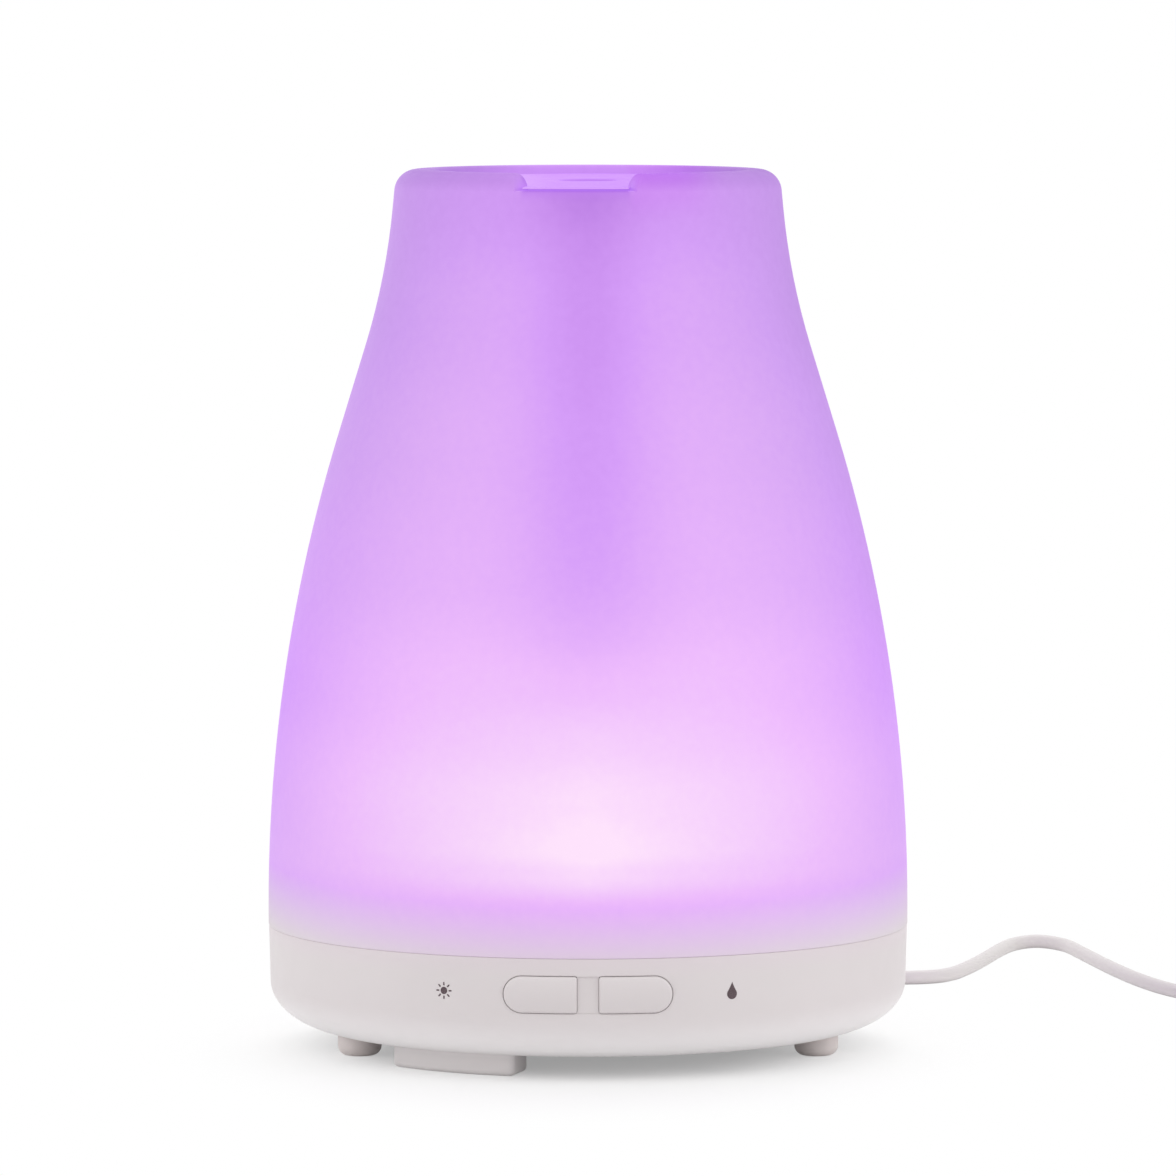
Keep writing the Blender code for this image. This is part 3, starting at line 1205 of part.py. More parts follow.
def even_steps(dense, spacing):
    """The same path with its points at even distances."""
    along = [0.0]
    for before, after in zip(dense, dense[1:]):
        along.append(along[-1] + (after - before).length)
    count = ceil(along[-1] / spacing)
    placed = []
    index = 0
    for i in range(count + 1):
        target = along[-1] * i / count
        while index < len(along) - 2 and along[index + 1] < target:
            index += 1
        share = (target - along[index]) / (along[index + 1] - along[index])
        placed.append(dense[index].lerp(dense[index + 1], share))
    return placed


def cord_tube(name, route, body, rubber):
    """A round tube along a route."""
    curve = bpy.data.curves.new(name, "CURVE")
    curve.dimensions = "3D"
    curve.bevel_depth = CORD_RADIUS
    curve.bevel_resolution = 2
    curve.use_fill_caps = True
    curve.materials.append(rubber)
    path = smooth_path(route, CORD_SPACING)
    spline = curve.splines.new("POLY")
    spline.points.add(len(path) - 1)
    for point, place in zip(spline.points, path):
        point.co = (*place, 1.0)
    obj = bpy.data.objects.new(name, curve)
    obj.parent = body
    bpy.context.scene.collection.objects.link(obj)


def cord_coil(body, rubber, band):
    """The outer shape of the coiled cord, and the tie round it."""
    middle = COIL_LOW + COIL_WIDTH / 2 - SOCKET_HEIGHT
    section = rounded_rectangle(COIL_WIDTH, COIL_WIDTH, COIL_BEVEL, 1)
    bm = bmesh.new()
    add_turned(bm, [(COIL_RADIUS + x, middle + z) for x, z in section], COIL_CENTRE, 28)
    piece("cord_coil", bm, rubber, body)

    tie_inner = COIL_WIDTH + 2 * GAP
    tie_outer = tie_inner + 2 * TIE_THICKNESS
    bm = bmesh.new()
    loop = rounded_rectangle(tie_outer, tie_outer, COIL_BEVEL, 3)
    add_prism(bm, loop, -TIE_WIDTH / 2, TIE_WIDTH / 2, FACING_FRONT)
    place = around(COIL_RADIUS, TIE_AZIMUTH) + Vector((*COIL_CENTRE, middle))
    tie = piece("coil_tie", bm, band, body, place, TIE_AZIMUTH + 90)
    opening = bmesh.new()
    hole = rounded_rectangle(tie_inner, tie_inner, COIL_BEVEL / 2, 3)
    add_prism(opening, hole, -TIE_WIDTH, TIE_WIDTH, FACING_FRONT)
    cut(tie, opening)


def adapter(body, plastic, rubber, metal):
    """The wall adapter on its back: two case halves, the strain relief and the two prongs."""
    width, length, height = ADAPTER_SIZE
    x, y = ADAPTER_CENTRE
    floor = -SOCKET_HEIGHT
    thick, deep, tall = PRONG_SIZE
    foot = floor + height - PRONG_SINK
    for name, low, high in (
        ("adapter_back", 0.0, ADAPTER_SPLIT),
        ("adapter_front", ADAPTER_SPLIT + GAP, height),
    ):
        bm = bmesh.new()
        outline = rounded_rectangle(width, length, ADAPTER_ROUND, 4)
        add_prism(bm, outline, floor + low, floor + high)
        half = piece(name, bm, plastic, body, (x, y, 0.0))
        if name == "adapter_front":
            slots = bmesh.new()
            for side in (-1, 1):
                middle = side * PRONG_SPACING / 2
                left, right = middle - thick / 2 - GAP, middle + thick / 2 + GAP
                front, rear = PRONG_FORWARD - deep / 2 - GAP, PRONG_FORWARD + deep / 2 + GAP
                add_block(slots, (left, front, foot - GAP), (right, rear, height))
            cut(half, slots)
    bm = bmesh.new()
    add_block(bm, (-thick / 2, -deep / 2, 0.0), (thick / 2, deep / 2, tall))
    mesh = mesh_from("prong", bm)
    for index, side in enumerate((-1, 1)):
        place = (x + side * PRONG_SPACING / 2, y + PRONG_FORWARD, foot)
        piece(f"adapter_prong_{index + 1}", mesh, metal, body, place)
    bm = bmesh.new()
    outline = [(0.0, RELIEF_LENGTH), (RELIEF_TIP, RELIEF_LENGTH), (RELIEF_ROOT, 0.0), (0.0, 0.0)]
    add_turned(bm, outline, sides=SMALL_SIDES, frame=FACING_FRONT)
    place = (x, y - length / 2 - GAP, floor + ADAPTER_CORD_HEIGHT)
    piece("adapter_relief", bm, rubber, body, place)


def build_base(white, pale_rubber, steel, black, board, frosted):
    """The base, what it holds and the fan's rotor."""
    base = pivot("base")
    base_shell(base, white)
    bottom_cover(base, white)
    feet(base, pale_rubber)
    base_screws(base, steel)
    tank_collar(base, white)
    water_tank(base, frosted)
    air_nozzle(base, white)
    ceramic = finish("ceramic", (0.80, 0.74, 0.60), 0.35)
    ultrasonic_disc(base, ceramic, finish("seal_rubber", (0.60, 0.60, 0.60), 0.6), steel)
    led_board(base, board, finish("led_lens", (0.95, 0.93, 0.80), 0.2))
    main_board(base, board)
    copper = finish("copper", (0.72, 0.36, 0.18), 0.4, 1.0)
    can = finish("capacitor_can", (0.20, 0.22, 0.28), 0.35, 0.6)
    board_parts(base, finish("aluminium", (0.60, 0.60, 0.62), 0.4, 1.0), copper, can, black)
    button_switches(base, board, black)
    dc_socket(base, black)
    fan_axis = pivot("fan_axis", around(FAN_OFFSET, FAN_AZIMUTH), FAN_AZIMUTH)
    fan_frame(fan_axis, black)
    fan_duct(fan_axis, white)
    fan_rotor(fan_axis, black)


def build_cover(frosted):
    """The cover with its insert and mist guide, turned as they sit on the base."""
    cover = pivot("cover", azimuth=COVER_TURN)
    cover_shell(cover, frosted)
    top_insert(cover, frosted)
    mist_guide(cover, frosted)


def build_buttons(black):
    """The two buttons, each under a pivot on the line that it slides along."""
    button_plastic = finish("button_plastic", (0.80, 0.76, 0.76), 0.45)
    for name, side in (("light", -1), ("mist", 1)):
        slide = pivot(f"{name}_slide", (side * BUTTON_MIDDLE, 0.0, BUTTON_HEIGHT))
        push_button(name, side, slide, button_plastic, black)


def build_lead(black):
    """The power lead under a pivot on the line that the plug pulls out along."""
    lead = pivot("power_lead", (0.0, 0.0, SOCKET_HEIGHT))
    cord_rubber = finish("cord_rubber", (0.70, 0.66, 0.68), 0.5)
    nickel = finish("nickel", (0.75, 0.74, 0.72), 0.25, 1.0)
    plug(lead, cord_rubber, nickel)
    cord_tube("power_cord", lead_route(), lead, cord_rubber)
    cord_tube("adapter_cord", adapter_route(), lead, cord_rubber)
    cord_coil(lead, cord_rubber, black)
    adapter(lead, finish("adapter_plastic", (0.74, 0.71, 0.72), 0.45), cord_rubber, nickel)


def main():
    clear_scene()
    white = finish("white_plastic", (0.66, 0.62, 0.62), 0.45)
    frosted = finish("frosted_plastic", (0.72, 0.42, 0.90), 0.35)
    steel = finish("steel", (0.62, 0.62, 0.64), 0.3, 1.0)
    black = finish("black_plastic", (0.03, 0.03, 0.03), 0.4)
    pale_rubber = finish("pale_rubber", (0.62, 0.57, 0.56), 0.75)
    board = finish("circuit_board", (0.05, 0.25, 0.12), 0.5)
    build_base(white, pale_rubber, steel, black, board, frosted)
    build_cover(frosted)
    build_buttons(black)
    build_lead(black)


if __name__ == "__main__":
    main()
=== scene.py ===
"""Looks of an essential oil diffuser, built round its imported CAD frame.

Everything is in metres. The origin lies on the floor under the middle of the base, the front faces -Y and
+Z points up. Azimuths are in degrees from the front towards +X. Sizes that the frame holds are read from it.
"""

import logging
from collections.abc import Callable, Iterable, Sequence
from dataclasses import dataclass, field
from enum import Enum, IntEnum
from math import asin, ceil, cos, degrees, hypot, pi, radians, sin, sqrt, tan

import bmesh
import bpy
from mathutils import Matrix, Vector


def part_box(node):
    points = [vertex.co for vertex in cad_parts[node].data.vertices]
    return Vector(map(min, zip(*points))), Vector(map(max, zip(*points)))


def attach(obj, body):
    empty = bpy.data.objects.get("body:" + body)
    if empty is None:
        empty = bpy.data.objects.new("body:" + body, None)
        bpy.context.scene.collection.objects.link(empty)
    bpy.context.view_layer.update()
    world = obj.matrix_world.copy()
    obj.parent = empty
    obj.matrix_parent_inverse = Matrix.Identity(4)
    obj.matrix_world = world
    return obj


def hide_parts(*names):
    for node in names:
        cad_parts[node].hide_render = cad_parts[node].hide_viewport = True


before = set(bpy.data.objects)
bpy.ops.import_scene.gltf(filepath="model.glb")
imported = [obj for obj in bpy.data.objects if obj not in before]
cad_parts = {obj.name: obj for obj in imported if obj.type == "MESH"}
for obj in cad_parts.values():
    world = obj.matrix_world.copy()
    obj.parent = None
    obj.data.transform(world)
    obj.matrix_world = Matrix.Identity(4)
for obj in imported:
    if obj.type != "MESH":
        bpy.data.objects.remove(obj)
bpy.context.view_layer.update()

LOG = logging.getLogger("diffuser")

Colour = tuple[int, int, int]
Flat = tuple[float, float]
Spot = tuple[float, float, float]
Stops = tuple[tuple[float, object], ...]
Piece = bpy.types.Object
Socket = bpy.types.NodeSocket
Vert = bmesh.types.BMVert

GAP = 0.0003  # between pieces that are fixed together
MM = 0.001
FINE = 0.0001  # the least step of the forms
ON_AXIS = 1e-9  # a radius below this is a point on the axis
WELD_REACH = 1e-6  # points of a CAD mesh that are closer than this are one
WHITE = (1.0, 1.0, 1.0, 1.0)
EDGE_TURNS = (15, 30, 45, 60, 75, 90)  # degrees of the steps over a rounded edge

# Measures that more than one assembly uses

SEAM = 0.0194  # height
SEAM_CLOSING = 0.000145  # how far each edge at the seam goes past the CAD's, towards the other
NOTCH_AZIMUTH = -3.8
PLUG_HEIGHT = 0.0122
PLATE_RADIUS = 0.0420
SCREW_CIRCLE = 0.0363
SCREW_AZIMUTHS = (32.0, 110.0, 195.0, 275.0)
FAN_PLACE = (-0.021365, 0.012335)
FAN_AZIMUTH = -120.0


# Frame and geometry


def low_of(node: str) -> Vector:
    """The lowest corner of a CAD node."""
    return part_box(node)[0]


def high_of(node: str) -> Vector:
    """The highest corner of a CAD node."""
    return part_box(node)[1]


def radius_of(node: str) -> float:
    """Half the width of a CAD node along X."""
    low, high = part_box(node)
    return (high.x - low.x) / 2


def around(radius: float, azimuth: float, height: float = 0.0) -> Vector:
    """The point at a radius, an azimuth and a height."""
    turn = radians(azimuth)
    return Vector((radius * sin(turn), -radius * cos(turn), height))


def moved_to(circle: float, azimuth: float) -> Matrix:
    """The move from the axis to a place on a circle round it."""
    return Matrix.Translation(around(circle, azimuth))


def turned_round(azimuth: float) -> Matrix:
    """A turn about the upright axis, in degrees."""
    return Matrix.Rotation(radians(azimuth), 4, "Z")


def pointing_back(height: float) -> Matrix:
    """The move that lays an upright form along Y at a height, with its top to the rear."""
    return Matrix.Translation((0.0, 0.0, height)) @ Matrix.Rotation(radians(-90), 4, "X")


def pointing_front(place: Spot = (0.0, 0.0, 0.0)) -> Matrix:
    """The move that lays an upright form along Y at a place, with its top to the front."""
    return Matrix.Translation(place) @ Matrix.Rotation(radians(90), 4, "X")


def arc(centre: Flat, radius: float, start: float, end: float, steps: int) -> list[Flat]:
    """Points of an arc in a plane.

    Args:
        centre: Middle of the arc.
        radius: Its radius.
        start: First angle in degrees.
        end: Last angle in degrees.
        steps: Number of stretches between the points.

    Returns:
        The points in order, both ends included.
    """
    turns = [radians(start + (end - start) * i / steps) for i in range(steps + 1)]
    return [(centre[0] + radius * cos(t), centre[1] + radius * sin(t)) for t in turns]


def blend_between(low: float, high: float, share: float) -> float:
    """A value between two others by an even share."""
    return low + (high - low) * share


def soft_step(low: float, high: float, value: float) -> float:
    """A share that rises smoothly from 0 at low to 1 at high."""
    share = min(1.0, max(0.0, (value - low) / (high - low)))
    return share * share * (3 - 2 * share)


def edge_steps(edge: float, turns: Iterable[int] = EDGE_TURNS) -> list[Flat]:
    """How far inwards and how far below its top a rounded edge is at each turn."""
    return [(edge * (1 - cos(radians(a))), edge * (1 - sin(radians(a)))) for a in turns]


def soften(outline: Sequence[Flat], rounds: dict[int, float], steps: int = 4) -> list[Flat]:
    """Rounds chosen corners of an outline.

    Args:
        outline: Corners of an open or closed outline.
        rounds: Radius of the round at each chosen corner, by its index.
        steps: Number of stretches in each round.

    Returns:
        The outline with a run of points in place of each chosen corner.
    """
    points: list[Flat] = []
    for index, corner in enumerate(outline):
        if index not in rounds:
            points.append(corner)
            continue
        here = Vector(corner)
        before = (Vector(outline[index - 1]) - here).normalized()
        after = (Vector(outline[(index + 1) % len(outline)]) - here).normalized()
        half = before.angle(after) / 2
        reach = rounds[index] / tan(half)
        centre = here + (before + after).normalized() * rounds[index] / sin(half)
        first, last = here + before * reach - centre, here + after * reach - centre
        swing = first.angle_signed(last)
        for i in range(steps + 1):
            turned = first.copy()
            turned.rotate(Matrix.Rotation(-swing * i / steps, 2))
            points.append(tuple(centre + turned))
    return points


def soften_all(outline: Sequence[Flat], radius: float, steps: int = 4) -> list[Flat]:
    """Rounds all the corners of an outline alike."""
    return soften(outline, dict.fromkeys(range(len(outline)), radius), steps)


def box_outline(left: float, right: float, low: float, high: float) -> list[Flat]:
    """The four corners of an upright rectangle, round from its lower left."""
    return [(left, low), (right, low), (right, high), (left, high)]


def spread(outline: Sequence[Flat], step: float) -> list[Flat]:
    """A closed outline with more points on its long stretches.

    Args:
        outline: Points in order.
        step: Longest stretch that stays whole.

    Returns:
        The points, with even ones between those that are far apart.
    """
    points: list[Flat] = []
    for here, there in zip(outline, [*outline[1:], outline[0]]):
        count = max(1, ceil(hypot(there[0] - here[0], there[1] - here[1]) / step))
        for i in range(count):
            points.append(tuple(blend_between(low, high, i / count) for low, high in zip(here, there)))
    return points


class Shading(Enum):
    """How a piece's faces meet."""

    SMOOTH = 180.0
    EDGED = 35.0


class Sides(IntEnum):
    """How many faces a turned form has round it."""

    WIDE = 144
    DISC = 96
    TUBE = 72
    BORE = 64
    STUD = 48
    WELL = 36
    BOSS = 32
    PIN = 24
    SCREW = 20


class Shape:
    """A mesh under construction, with the turned, skinned and filled forms that the pieces share."""

    def __init__(self) -> None:
        """Starts with nothing in it."""
        self.mesh = bmesh.new()

    def ring(self, points: Iterable[Sequence[float]]) -> list[Vert]:
        """Adds a run of points and returns their vertices."""
        return [self.mesh.verts.new(point) for point in points]

    def face(self, *corners: Vert) -> None:
        """Adds a face, unless so many of its corners are one point that nothing is left of it.

        Args:
            *corners: The vertices round it, in order.
        """
        distinct = list(dict.fromkeys(corners))
        if len(distinct) > 2:
            self.mesh.faces.new(distinct)

    def skin(self, rings: Sequence[list[Vert]], round_closed: bool = True) -> None:
        """Stretches faces between successive rings with as many points each.

        Args:
            rings: The rings in order.
            round_closed: Whether the last point of each ring joins its first.
        """
        for lower, upper in zip(rings, rings[1:]):
            count = len(lower)
            for i in range(count if round_closed else count - 1):
                j = (i + 1) % count
                self.face(lower[i], lower[j], upper[j], upper[i])

    def fill(self, ring: Sequence[Vert]) -> None:
        """Closes a flat ring with one face."""
        self.mesh.faces.new(ring)

    def turn(self, outline: Sequence[Flat], sides: int, place: Matrix = Matrix()) -> None:
        """Turns an outline of (radius, height) points round Z.

        Args:
            outline: The section; one that starts on the axis also ends on it, and any other closes on itself.
            sides: Number of faces round.
            place: Where the finished form goes.
        """
        rings = []
        for radius, height in outline:
            if radius < ON_AXIS:
                rings.append([self.mesh.verts.new(place @ Vector((0.0, 0.0, height)))] * sides)
                continue
            turns = [2 * pi * i / sides for i in range(sides)]
            points = [Vector((radius * cos(t), radius * sin(t), height)) for t in turns]
            rings.append(self.ring([place @ point for point in points]))
        if outline[0][0] > ON_AXIS:
            rings.append(rings[0])
        self.skin(rings)

    def prism(self, outline: Sequence[Flat], low: float, high: float, place: Matrix = Matrix()) -> None:
        """Raises an outline of (x, y) points from one height to another.

        Args:
            outline: The points.
            low: Lower height.
            high: Upper height.
            place: Where the finished form goes.
        """
        self.stack([[place @ Vector((x, y, z)) for x, y in outline] for z in (low, high)])

    def stack(self, layers: Iterable[Iterable[Sequence[float]]]) -> None:
        """Joins layers of points into one closed form with flat ends.

        Args:
            layers: The points of each layer, as many in each.
        """
        rings = [self.ring(points) for points in layers]
        self.skin(rings)
        self.fill(rings[0])
        self.fill(rings[-1])

    def finished(self, name: str, shading: Shading = Shading.EDGED) -> Piece:
        """Closes the work and gives the object.

        Args:
            name: Name of the piece.
            shading: How its faces meet.

        Returns:
            The object, linked to the scene.
        """
        bmesh.ops.recalc_face_normals(self.mesh, faces=self.mesh.faces)
        data = bpy.data.meshes.new(name)
        self.mesh.to_mesh(data)
        self.mesh.free()
        data.shade_smooth()
        if shading is not Shading.SMOOTH:
            data.set_sharp_from_angle(angle=radians(shading.value))
        made = bpy.data.objects.new(name, data)
        bpy.context.scene.collection.objects.link(made)
        return made


def turned_piece(name: str, outline: Sequence[Flat], sides: int, place: Matrix = Matrix()) -> Piece:
    """A piece that is one outline turned round Z.

    Args:
        name: Name of the piece.
        outline: Its section, as (radius, height) points.
        sides: Number of faces round.
        place: Where it goes.

    Returns:
        The piece.
    """
    shape = Shape()
    shape.turn(outline, sides, place)
    return shape.finished(name)


def carve(target: Piece, tools: Sequence[Piece], operation: str = "DIFFERENCE") -> None:
    """Cuts closed shapes out of a piece, or joins them to it, and keeps the result as its mesh.

    Args:
        target: The piece that changes.
        tools: The shapes, which are removed afterwards.
        operation: Blender's name of the boolean operation.
    """
    for tool in tools:
        step = target.modifiers.new("carve", "BOOLEAN")
        step.operation = operation
        step.solver = "EXACT"
        step.object = tool
    bpy.context.view_layer.update()
    shown = target.evaluated_get(bpy.context.evaluated_depsgraph_get())
    result = bpy.data.meshes.new_from_object(shown)
    target.modifiers.clear()
    old, target.data = target.data, result
    bpy.data.meshes.remove(old)
    for tool in tools:
        data = tool.data
        bpy.data.objects.remove(tool)
        bpy.data.meshes.remove(data)
    shade_edged(result)


def shade_edged(mesh: bpy.types.Mesh) -> None:
    """Shades a mesh smooth, except over its sharp edges."""
    mesh.shade_smooth()
    mesh.set_sharp_from_angle(angle=radians(Shading.EDGED.value))


# Finishes


def linear(colour: Colour) -> tuple[float, float, float, float]:
    """A colour of 0 to 255 as the linear values that a shader takes.

    Args:
        colour: Red, green and blue.

    Returns:
        The values, with an opacity of 1 last.
    """
    shares = [part / 255 for part in colour]
    turned = [s / 12.92 if s <= 0.04045 else ((s + 0.055) / 1.055) ** 2.4 for s in shares]
    return (turned[0], turned[1], turned[2], 1.0)


class Recipe:
    """The node tree of one material, with short calls for the nodes that the finishes share."""

    def __init__(self, name: str) -> None:
        """Starts a material that has only its shader.

        Args:
            name: The material's name.
        """
        self.material = bpy.data.materials.new(name)
        self.material.use_nodes = True
        self.tree = self.material.node_tree
        self.shader = self.tree.nodes["Principled BSDF"]
        self.place = self.tree.nodes.new("ShaderNodeTexCoord").outputs["Object"]
        split = self.node("SeparateXYZ", {0: self.place})
        self.x, self.y, self.z = split.outputs

    def node(self, kind: str, sockets: dict, **settings: object) -> bpy.types.Node:
        """Adds a node.

        Args:
            kind: Blender's name of the node, without its prefix.
            sockets: What goes into its inputs, by name or number: a value, or a socket to link.
            **settings: Properties of the node.

        Returns:
            The node.
        """
        made = self.tree.nodes.new(f"ShaderNode{kind}")
        for key, value in settings.items():
            setattr(made, key, value)
        for key, value in sockets.items():
            self.feed(made.inputs[key], value)
        return made

    def feed(self, socket: Socket, value: object) -> None:
        """Links a socket to another, or sets its value.

        Args:
            socket: The input.
            value: Its value, or the socket to link.
        """
        if isinstance(value, Socket):
            self.tree.links.new(value, socket)
        else:
            socket.default_value = value

    def set(self, **inputs: object) -> None:
        """Feeds the shader's inputs; an underscore in a name stands for a space."""
        for key, value in inputs.items():
            self.feed(self.shader.inputs[key.replace("_", " ")], value)

    def maths(self, operation: str, *values: object) -> Socket:
        """The result of a maths node."""
        return self.node("Math", dict(enumerate(values)), operation=operation).outputs[0]

    def times(self, *values: object) -> Socket:
        """The product of two values."""
        return self.maths("MULTIPLY", *values)

    def plus(self, *values: object) -> Socket:
        """The sum of two values."""
        return self.maths("ADD", *values)

    def minus(self, *values: object) -> Socket:
        """The first of two values less the second."""
        return self.maths("SUBTRACT", *values)

    def power(self, value: object, exponent: float) -> Socket:
        """A value raised to a power."""
        return self.maths("POWER", value, exponent)

    def distance(self, across: object, along: object) -> Socket:
        """The length of the long side of a square corner with these two sides."""
        return self.maths("SQRT", self.plus(self.power(across, 2.0), self.power(along, 2.0)))

    def span(self, value: object, low: float, high: float, out_low: float = 0.0, out_high: float = 1.0,
             kind: str = "SMOOTHSTEP") -> Socket:
        """Maps a value from one range to another.

        Args:
            value: Socket with the value.
            low: Start of the range.
            high: End of the range.
            out_low: Result at its start.
            out_high: Result at its end.
            kind: Blender's name of the interpolation.

        Returns:
            The mapped value.
        """
        sockets = {0: value, 1: low, 2: high, 3: out_low, 4: out_high}
        return self.node("MapRange", sockets, interpolation_type=kind).outputs[0]

    def fall(self, value: object, low: float, high: float, kind: str = "SMOOTHSTEP") -> Socket:
        """A share that falls from 1 at low to 0 at high."""
        return self.span(value, low, high, 1.0, 0.0, kind)

    def uneven(self, noise: Socket, low: float, high: float) -> Socket:
        """A value that noise moves between two limits."""
        return self.span(noise, 0.3, 0.7, low, high, "LINEAR")

    def noise(self, scale: float, detail: float = 2.0, place: object = None) -> Socket:
        """Even noise of 0 to 1 with a number of waves per metre."""
        sockets = {"Vector": place or self.place, "Scale": scale, "Detail": detail}
        return self.node("TexNoise", sockets).outputs[0]

    def cells(self, scale: float, **settings: object) -> Socket:
        """A pattern of cells with a number of them per metre."""
        return self.node("TexVoronoi", {"Vector": self.place, "Scale": scale}, **settings).outputs[0]

    def stretched(self, scale: Spot) -> Socket:
        """The object's coordinates stretched along each axis."""
        return self.node("Mapping", {"Vector": self.place, "Scale": scale}).outputs[0]

    def stops(self, value: object, stops: Stops, smooth: bool = True) -> Socket:
        """A run of colours or grey values along a value.

        Args:
            value: Socket with the value, from 0 to 1.
            stops: Place and colour, or place and grey value, of each stop.
            smooth: Whether the stops flow into each other.

        Returns:
            The colour.
        """
        made = self.node("ValToRGB", {0: value})
        ramp = made.color_ramp
        ramp.interpolation = "EASE" if smooth else "LINEAR"
        while len(ramp.elements) < len(stops):
            ramp.elements.new(0.5)
        for element, (place, shade) in zip(ramp.elements, stops):
            element.position = place
            element.color = linear(shade) if isinstance(shade, tuple) else (shade, shade, shade, 1.0)
        return made.outputs[0]

    def mix(self, share: object, first: object, second: object, blend: str = "MIX") -> Socket:
        """Mixes two colours.

        Args:
            share: How much of the second colour is taken.
            first: Colour or socket.
            second: Colour or socket.
            blend: Blender's name of the mixing.

        Returns:
            The mixed colour.
        """
        sockets = {0: share, 6: first, 7: second}
        return self.node("Mix", sockets, data_type="RGBA", blend_type=blend).outputs[2]

    def tinted(self, share: object, colour: object, tint: object) -> Socket:
        """A colour multiplied by a tint as far as a share says."""
        return self.mix(share, colour, self.mix(1.0, colour, tint, "MULTIPLY"))

    def scaled(self, colour: object, factor: object) -> Socket:
        """A colour times a number.

        Args:
            colour: Colour or socket.
            factor: Number or socket.

        Returns:
            The scaled colour.
        """
        start = colour if isinstance(colour, Socket) else colour[:3]
        made = self.node("VectorMath", {0: start}, operation="SCALE")
        self.feed(made.inputs[3], factor)
        return made.outputs[0]

    def relief(self, height: object, depth: float, below: object = None) -> Socket:
        """A bump from a height of 0 to 1.

        Args:
            height: Socket with the height.
            depth: Real height of the bump in metres.
            below: Normal of a coarser bump under it.

        Returns:
            The normal.
        """
        made = self.node("Bump", {"Height": height, "Strength": 1.0, "Distance": depth})
        if below is not None:
            self.feed(made.inputs["Normal"], below)
        return made.outputs[0]


def option(value: Flat) -> Flat:
    """A pair of values that a finish takes by name only."""
    return field(default=value, kw_only=True)


@dataclass(frozen=True)
class Finish:
    """What every finish has: a name, a colour and how rough it is, with small changes over the surface."""

    name: str
    colour: Colour
    roughness: float = 0.45
    tones: Flat = option((0.008, 90.0))  # share by which the brightness changes, and its waves per metre
    sheen: Flat = option((0.05, 260.0))  # how far the roughness goes either way, and its waves per metre

    def material(self) -> bpy.types.Material:
        """The finish's material, which is made once.

        Returns:
            The material.
        """
        if self.name not in bpy.data.materials:
            self.fill(Recipe(self.name))
        return bpy.data.materials[self.name]

    def fill(self, recipe: Recipe) -> None:
        """Sets up the shader; each kind of finish has its own way."""
        raise NotImplementedError

    def varied(self, recipe: Recipe) -> Socket:
        """The finish's colour with slow changes of brightness.

        Args:
            recipe: The material under construction.

        Returns:
            The colour.
        """
        amount, waves = self.tones
        value = recipe.uneven(recipe.noise(waves, 3.0), 1 - amount, 1 + amount)
        return recipe.scaled(linear(self.colour), value)

    def rough(self, recipe: Recipe) -> Socket:
        """The finish's roughness with small changes over the surface."""
        spread, waves = self.sheen
        return recipe.uneven(recipe.noise(waves, 4.0), self.roughness - spread, self.roughness + spread)


@dataclass(frozen=True)
class MouldedPlastic(Finish):
    """Plastic from a finely eroded mould, with faint flow marks."""

    grain: float = 0.000008  # its depth
    grain_waves: float = 3800.0
    flow: Flat = option((60.0, 0.00003))  # waves per metre and depth of the flow marks

    def fill(self, recipe: Recipe) -> None:
        """Sets up the shader.

        Args:
            recipe: The material under construction.
        """
        waves, depth = self.flow
        flow = recipe.relief(recipe.noise(waves, 1.0), depth)
        grain = recipe.relief(recipe.noise(self.grain_waves), self.grain, flow)
        recipe.set(Base_Color=self.varied(recipe), Roughness=self.rough(recipe))
        recipe.set(Normal=grain, Specular_IOR_Level=0.4)


@dataclass(frozen=True)
class BaseShellPlastic(MouldedPlastic):
    """The base's off-white plastic, with painted light: paler round the underside where painted light lifts
    the shade near the floor, and the cover's painted pink glow at the seam.
    """

    # painted pink glow of the lit cover just below the seam
    painted_cover_glow: Colour = (222, 196, 216)
    painted_cover_glow_share: float = 0.16
    seam: float = SEAM
    painted_cover_glow_height: float = 0.0035
    # colour of the painted light round the underside
    pale: Colour = (246, 243, 243)
    underside: Flat = (0.0042, 0.0108)  # heights at which the paler part of the painted light is full and ends
    block: Flat = (0.0024, 0.0046)  # heights between which it fades on the standing block
    block_share: float = 0.3  # what is left of it below them

    def fill(self, recipe: Recipe) -> None:
        """Sets up the shader.

        Args:
            recipe: The material under construction.
        """
        super().fill(recipe)
        painted_cover_glow = recipe.span(recipe.z, self.seam - self.painted_cover_glow_height, self.seam, 0.0, self.painted_cover_glow_share)
        paler = recipe.times(recipe.fall(recipe.z, *self.underside),
                             recipe.span(recipe.z, *self.block, self.block_share, 1.0))
        plain = recipe.mix(paler, self.varied(recipe), linear(self.pale))
        recipe.set(Base_Color=recipe.mix(painted_cover_glow, plain, linear(self.painted_cover_glow)))


@dataclass(frozen=True)
class ButtonPlastic(MouldedPlastic):
    """The buttons' plastic, with painted shade that makes it slightly darker towards the lower edge."""

    # colour of the painted shade at the lower edge
    lower: Colour = (211, 205, 205)
    height: Flat = (0.0108, 0.0170)  # of the buttons' lower and upper edges
    bend: float = 0.45

    def fill(self, recipe: Recipe) -> None:
        """Sets up the shader.

        Args:
            recipe: The material under construction.
        """
        super().fill(recipe)
        up = recipe.span(recipe.z, *self.height, kind="LINEAR")
        darker = recipe.power(recipe.minus(1.0, up), self.bend)
        recipe.set(Base_Color=recipe.mix(darker, self.varied(recipe), linear(self.lower)))


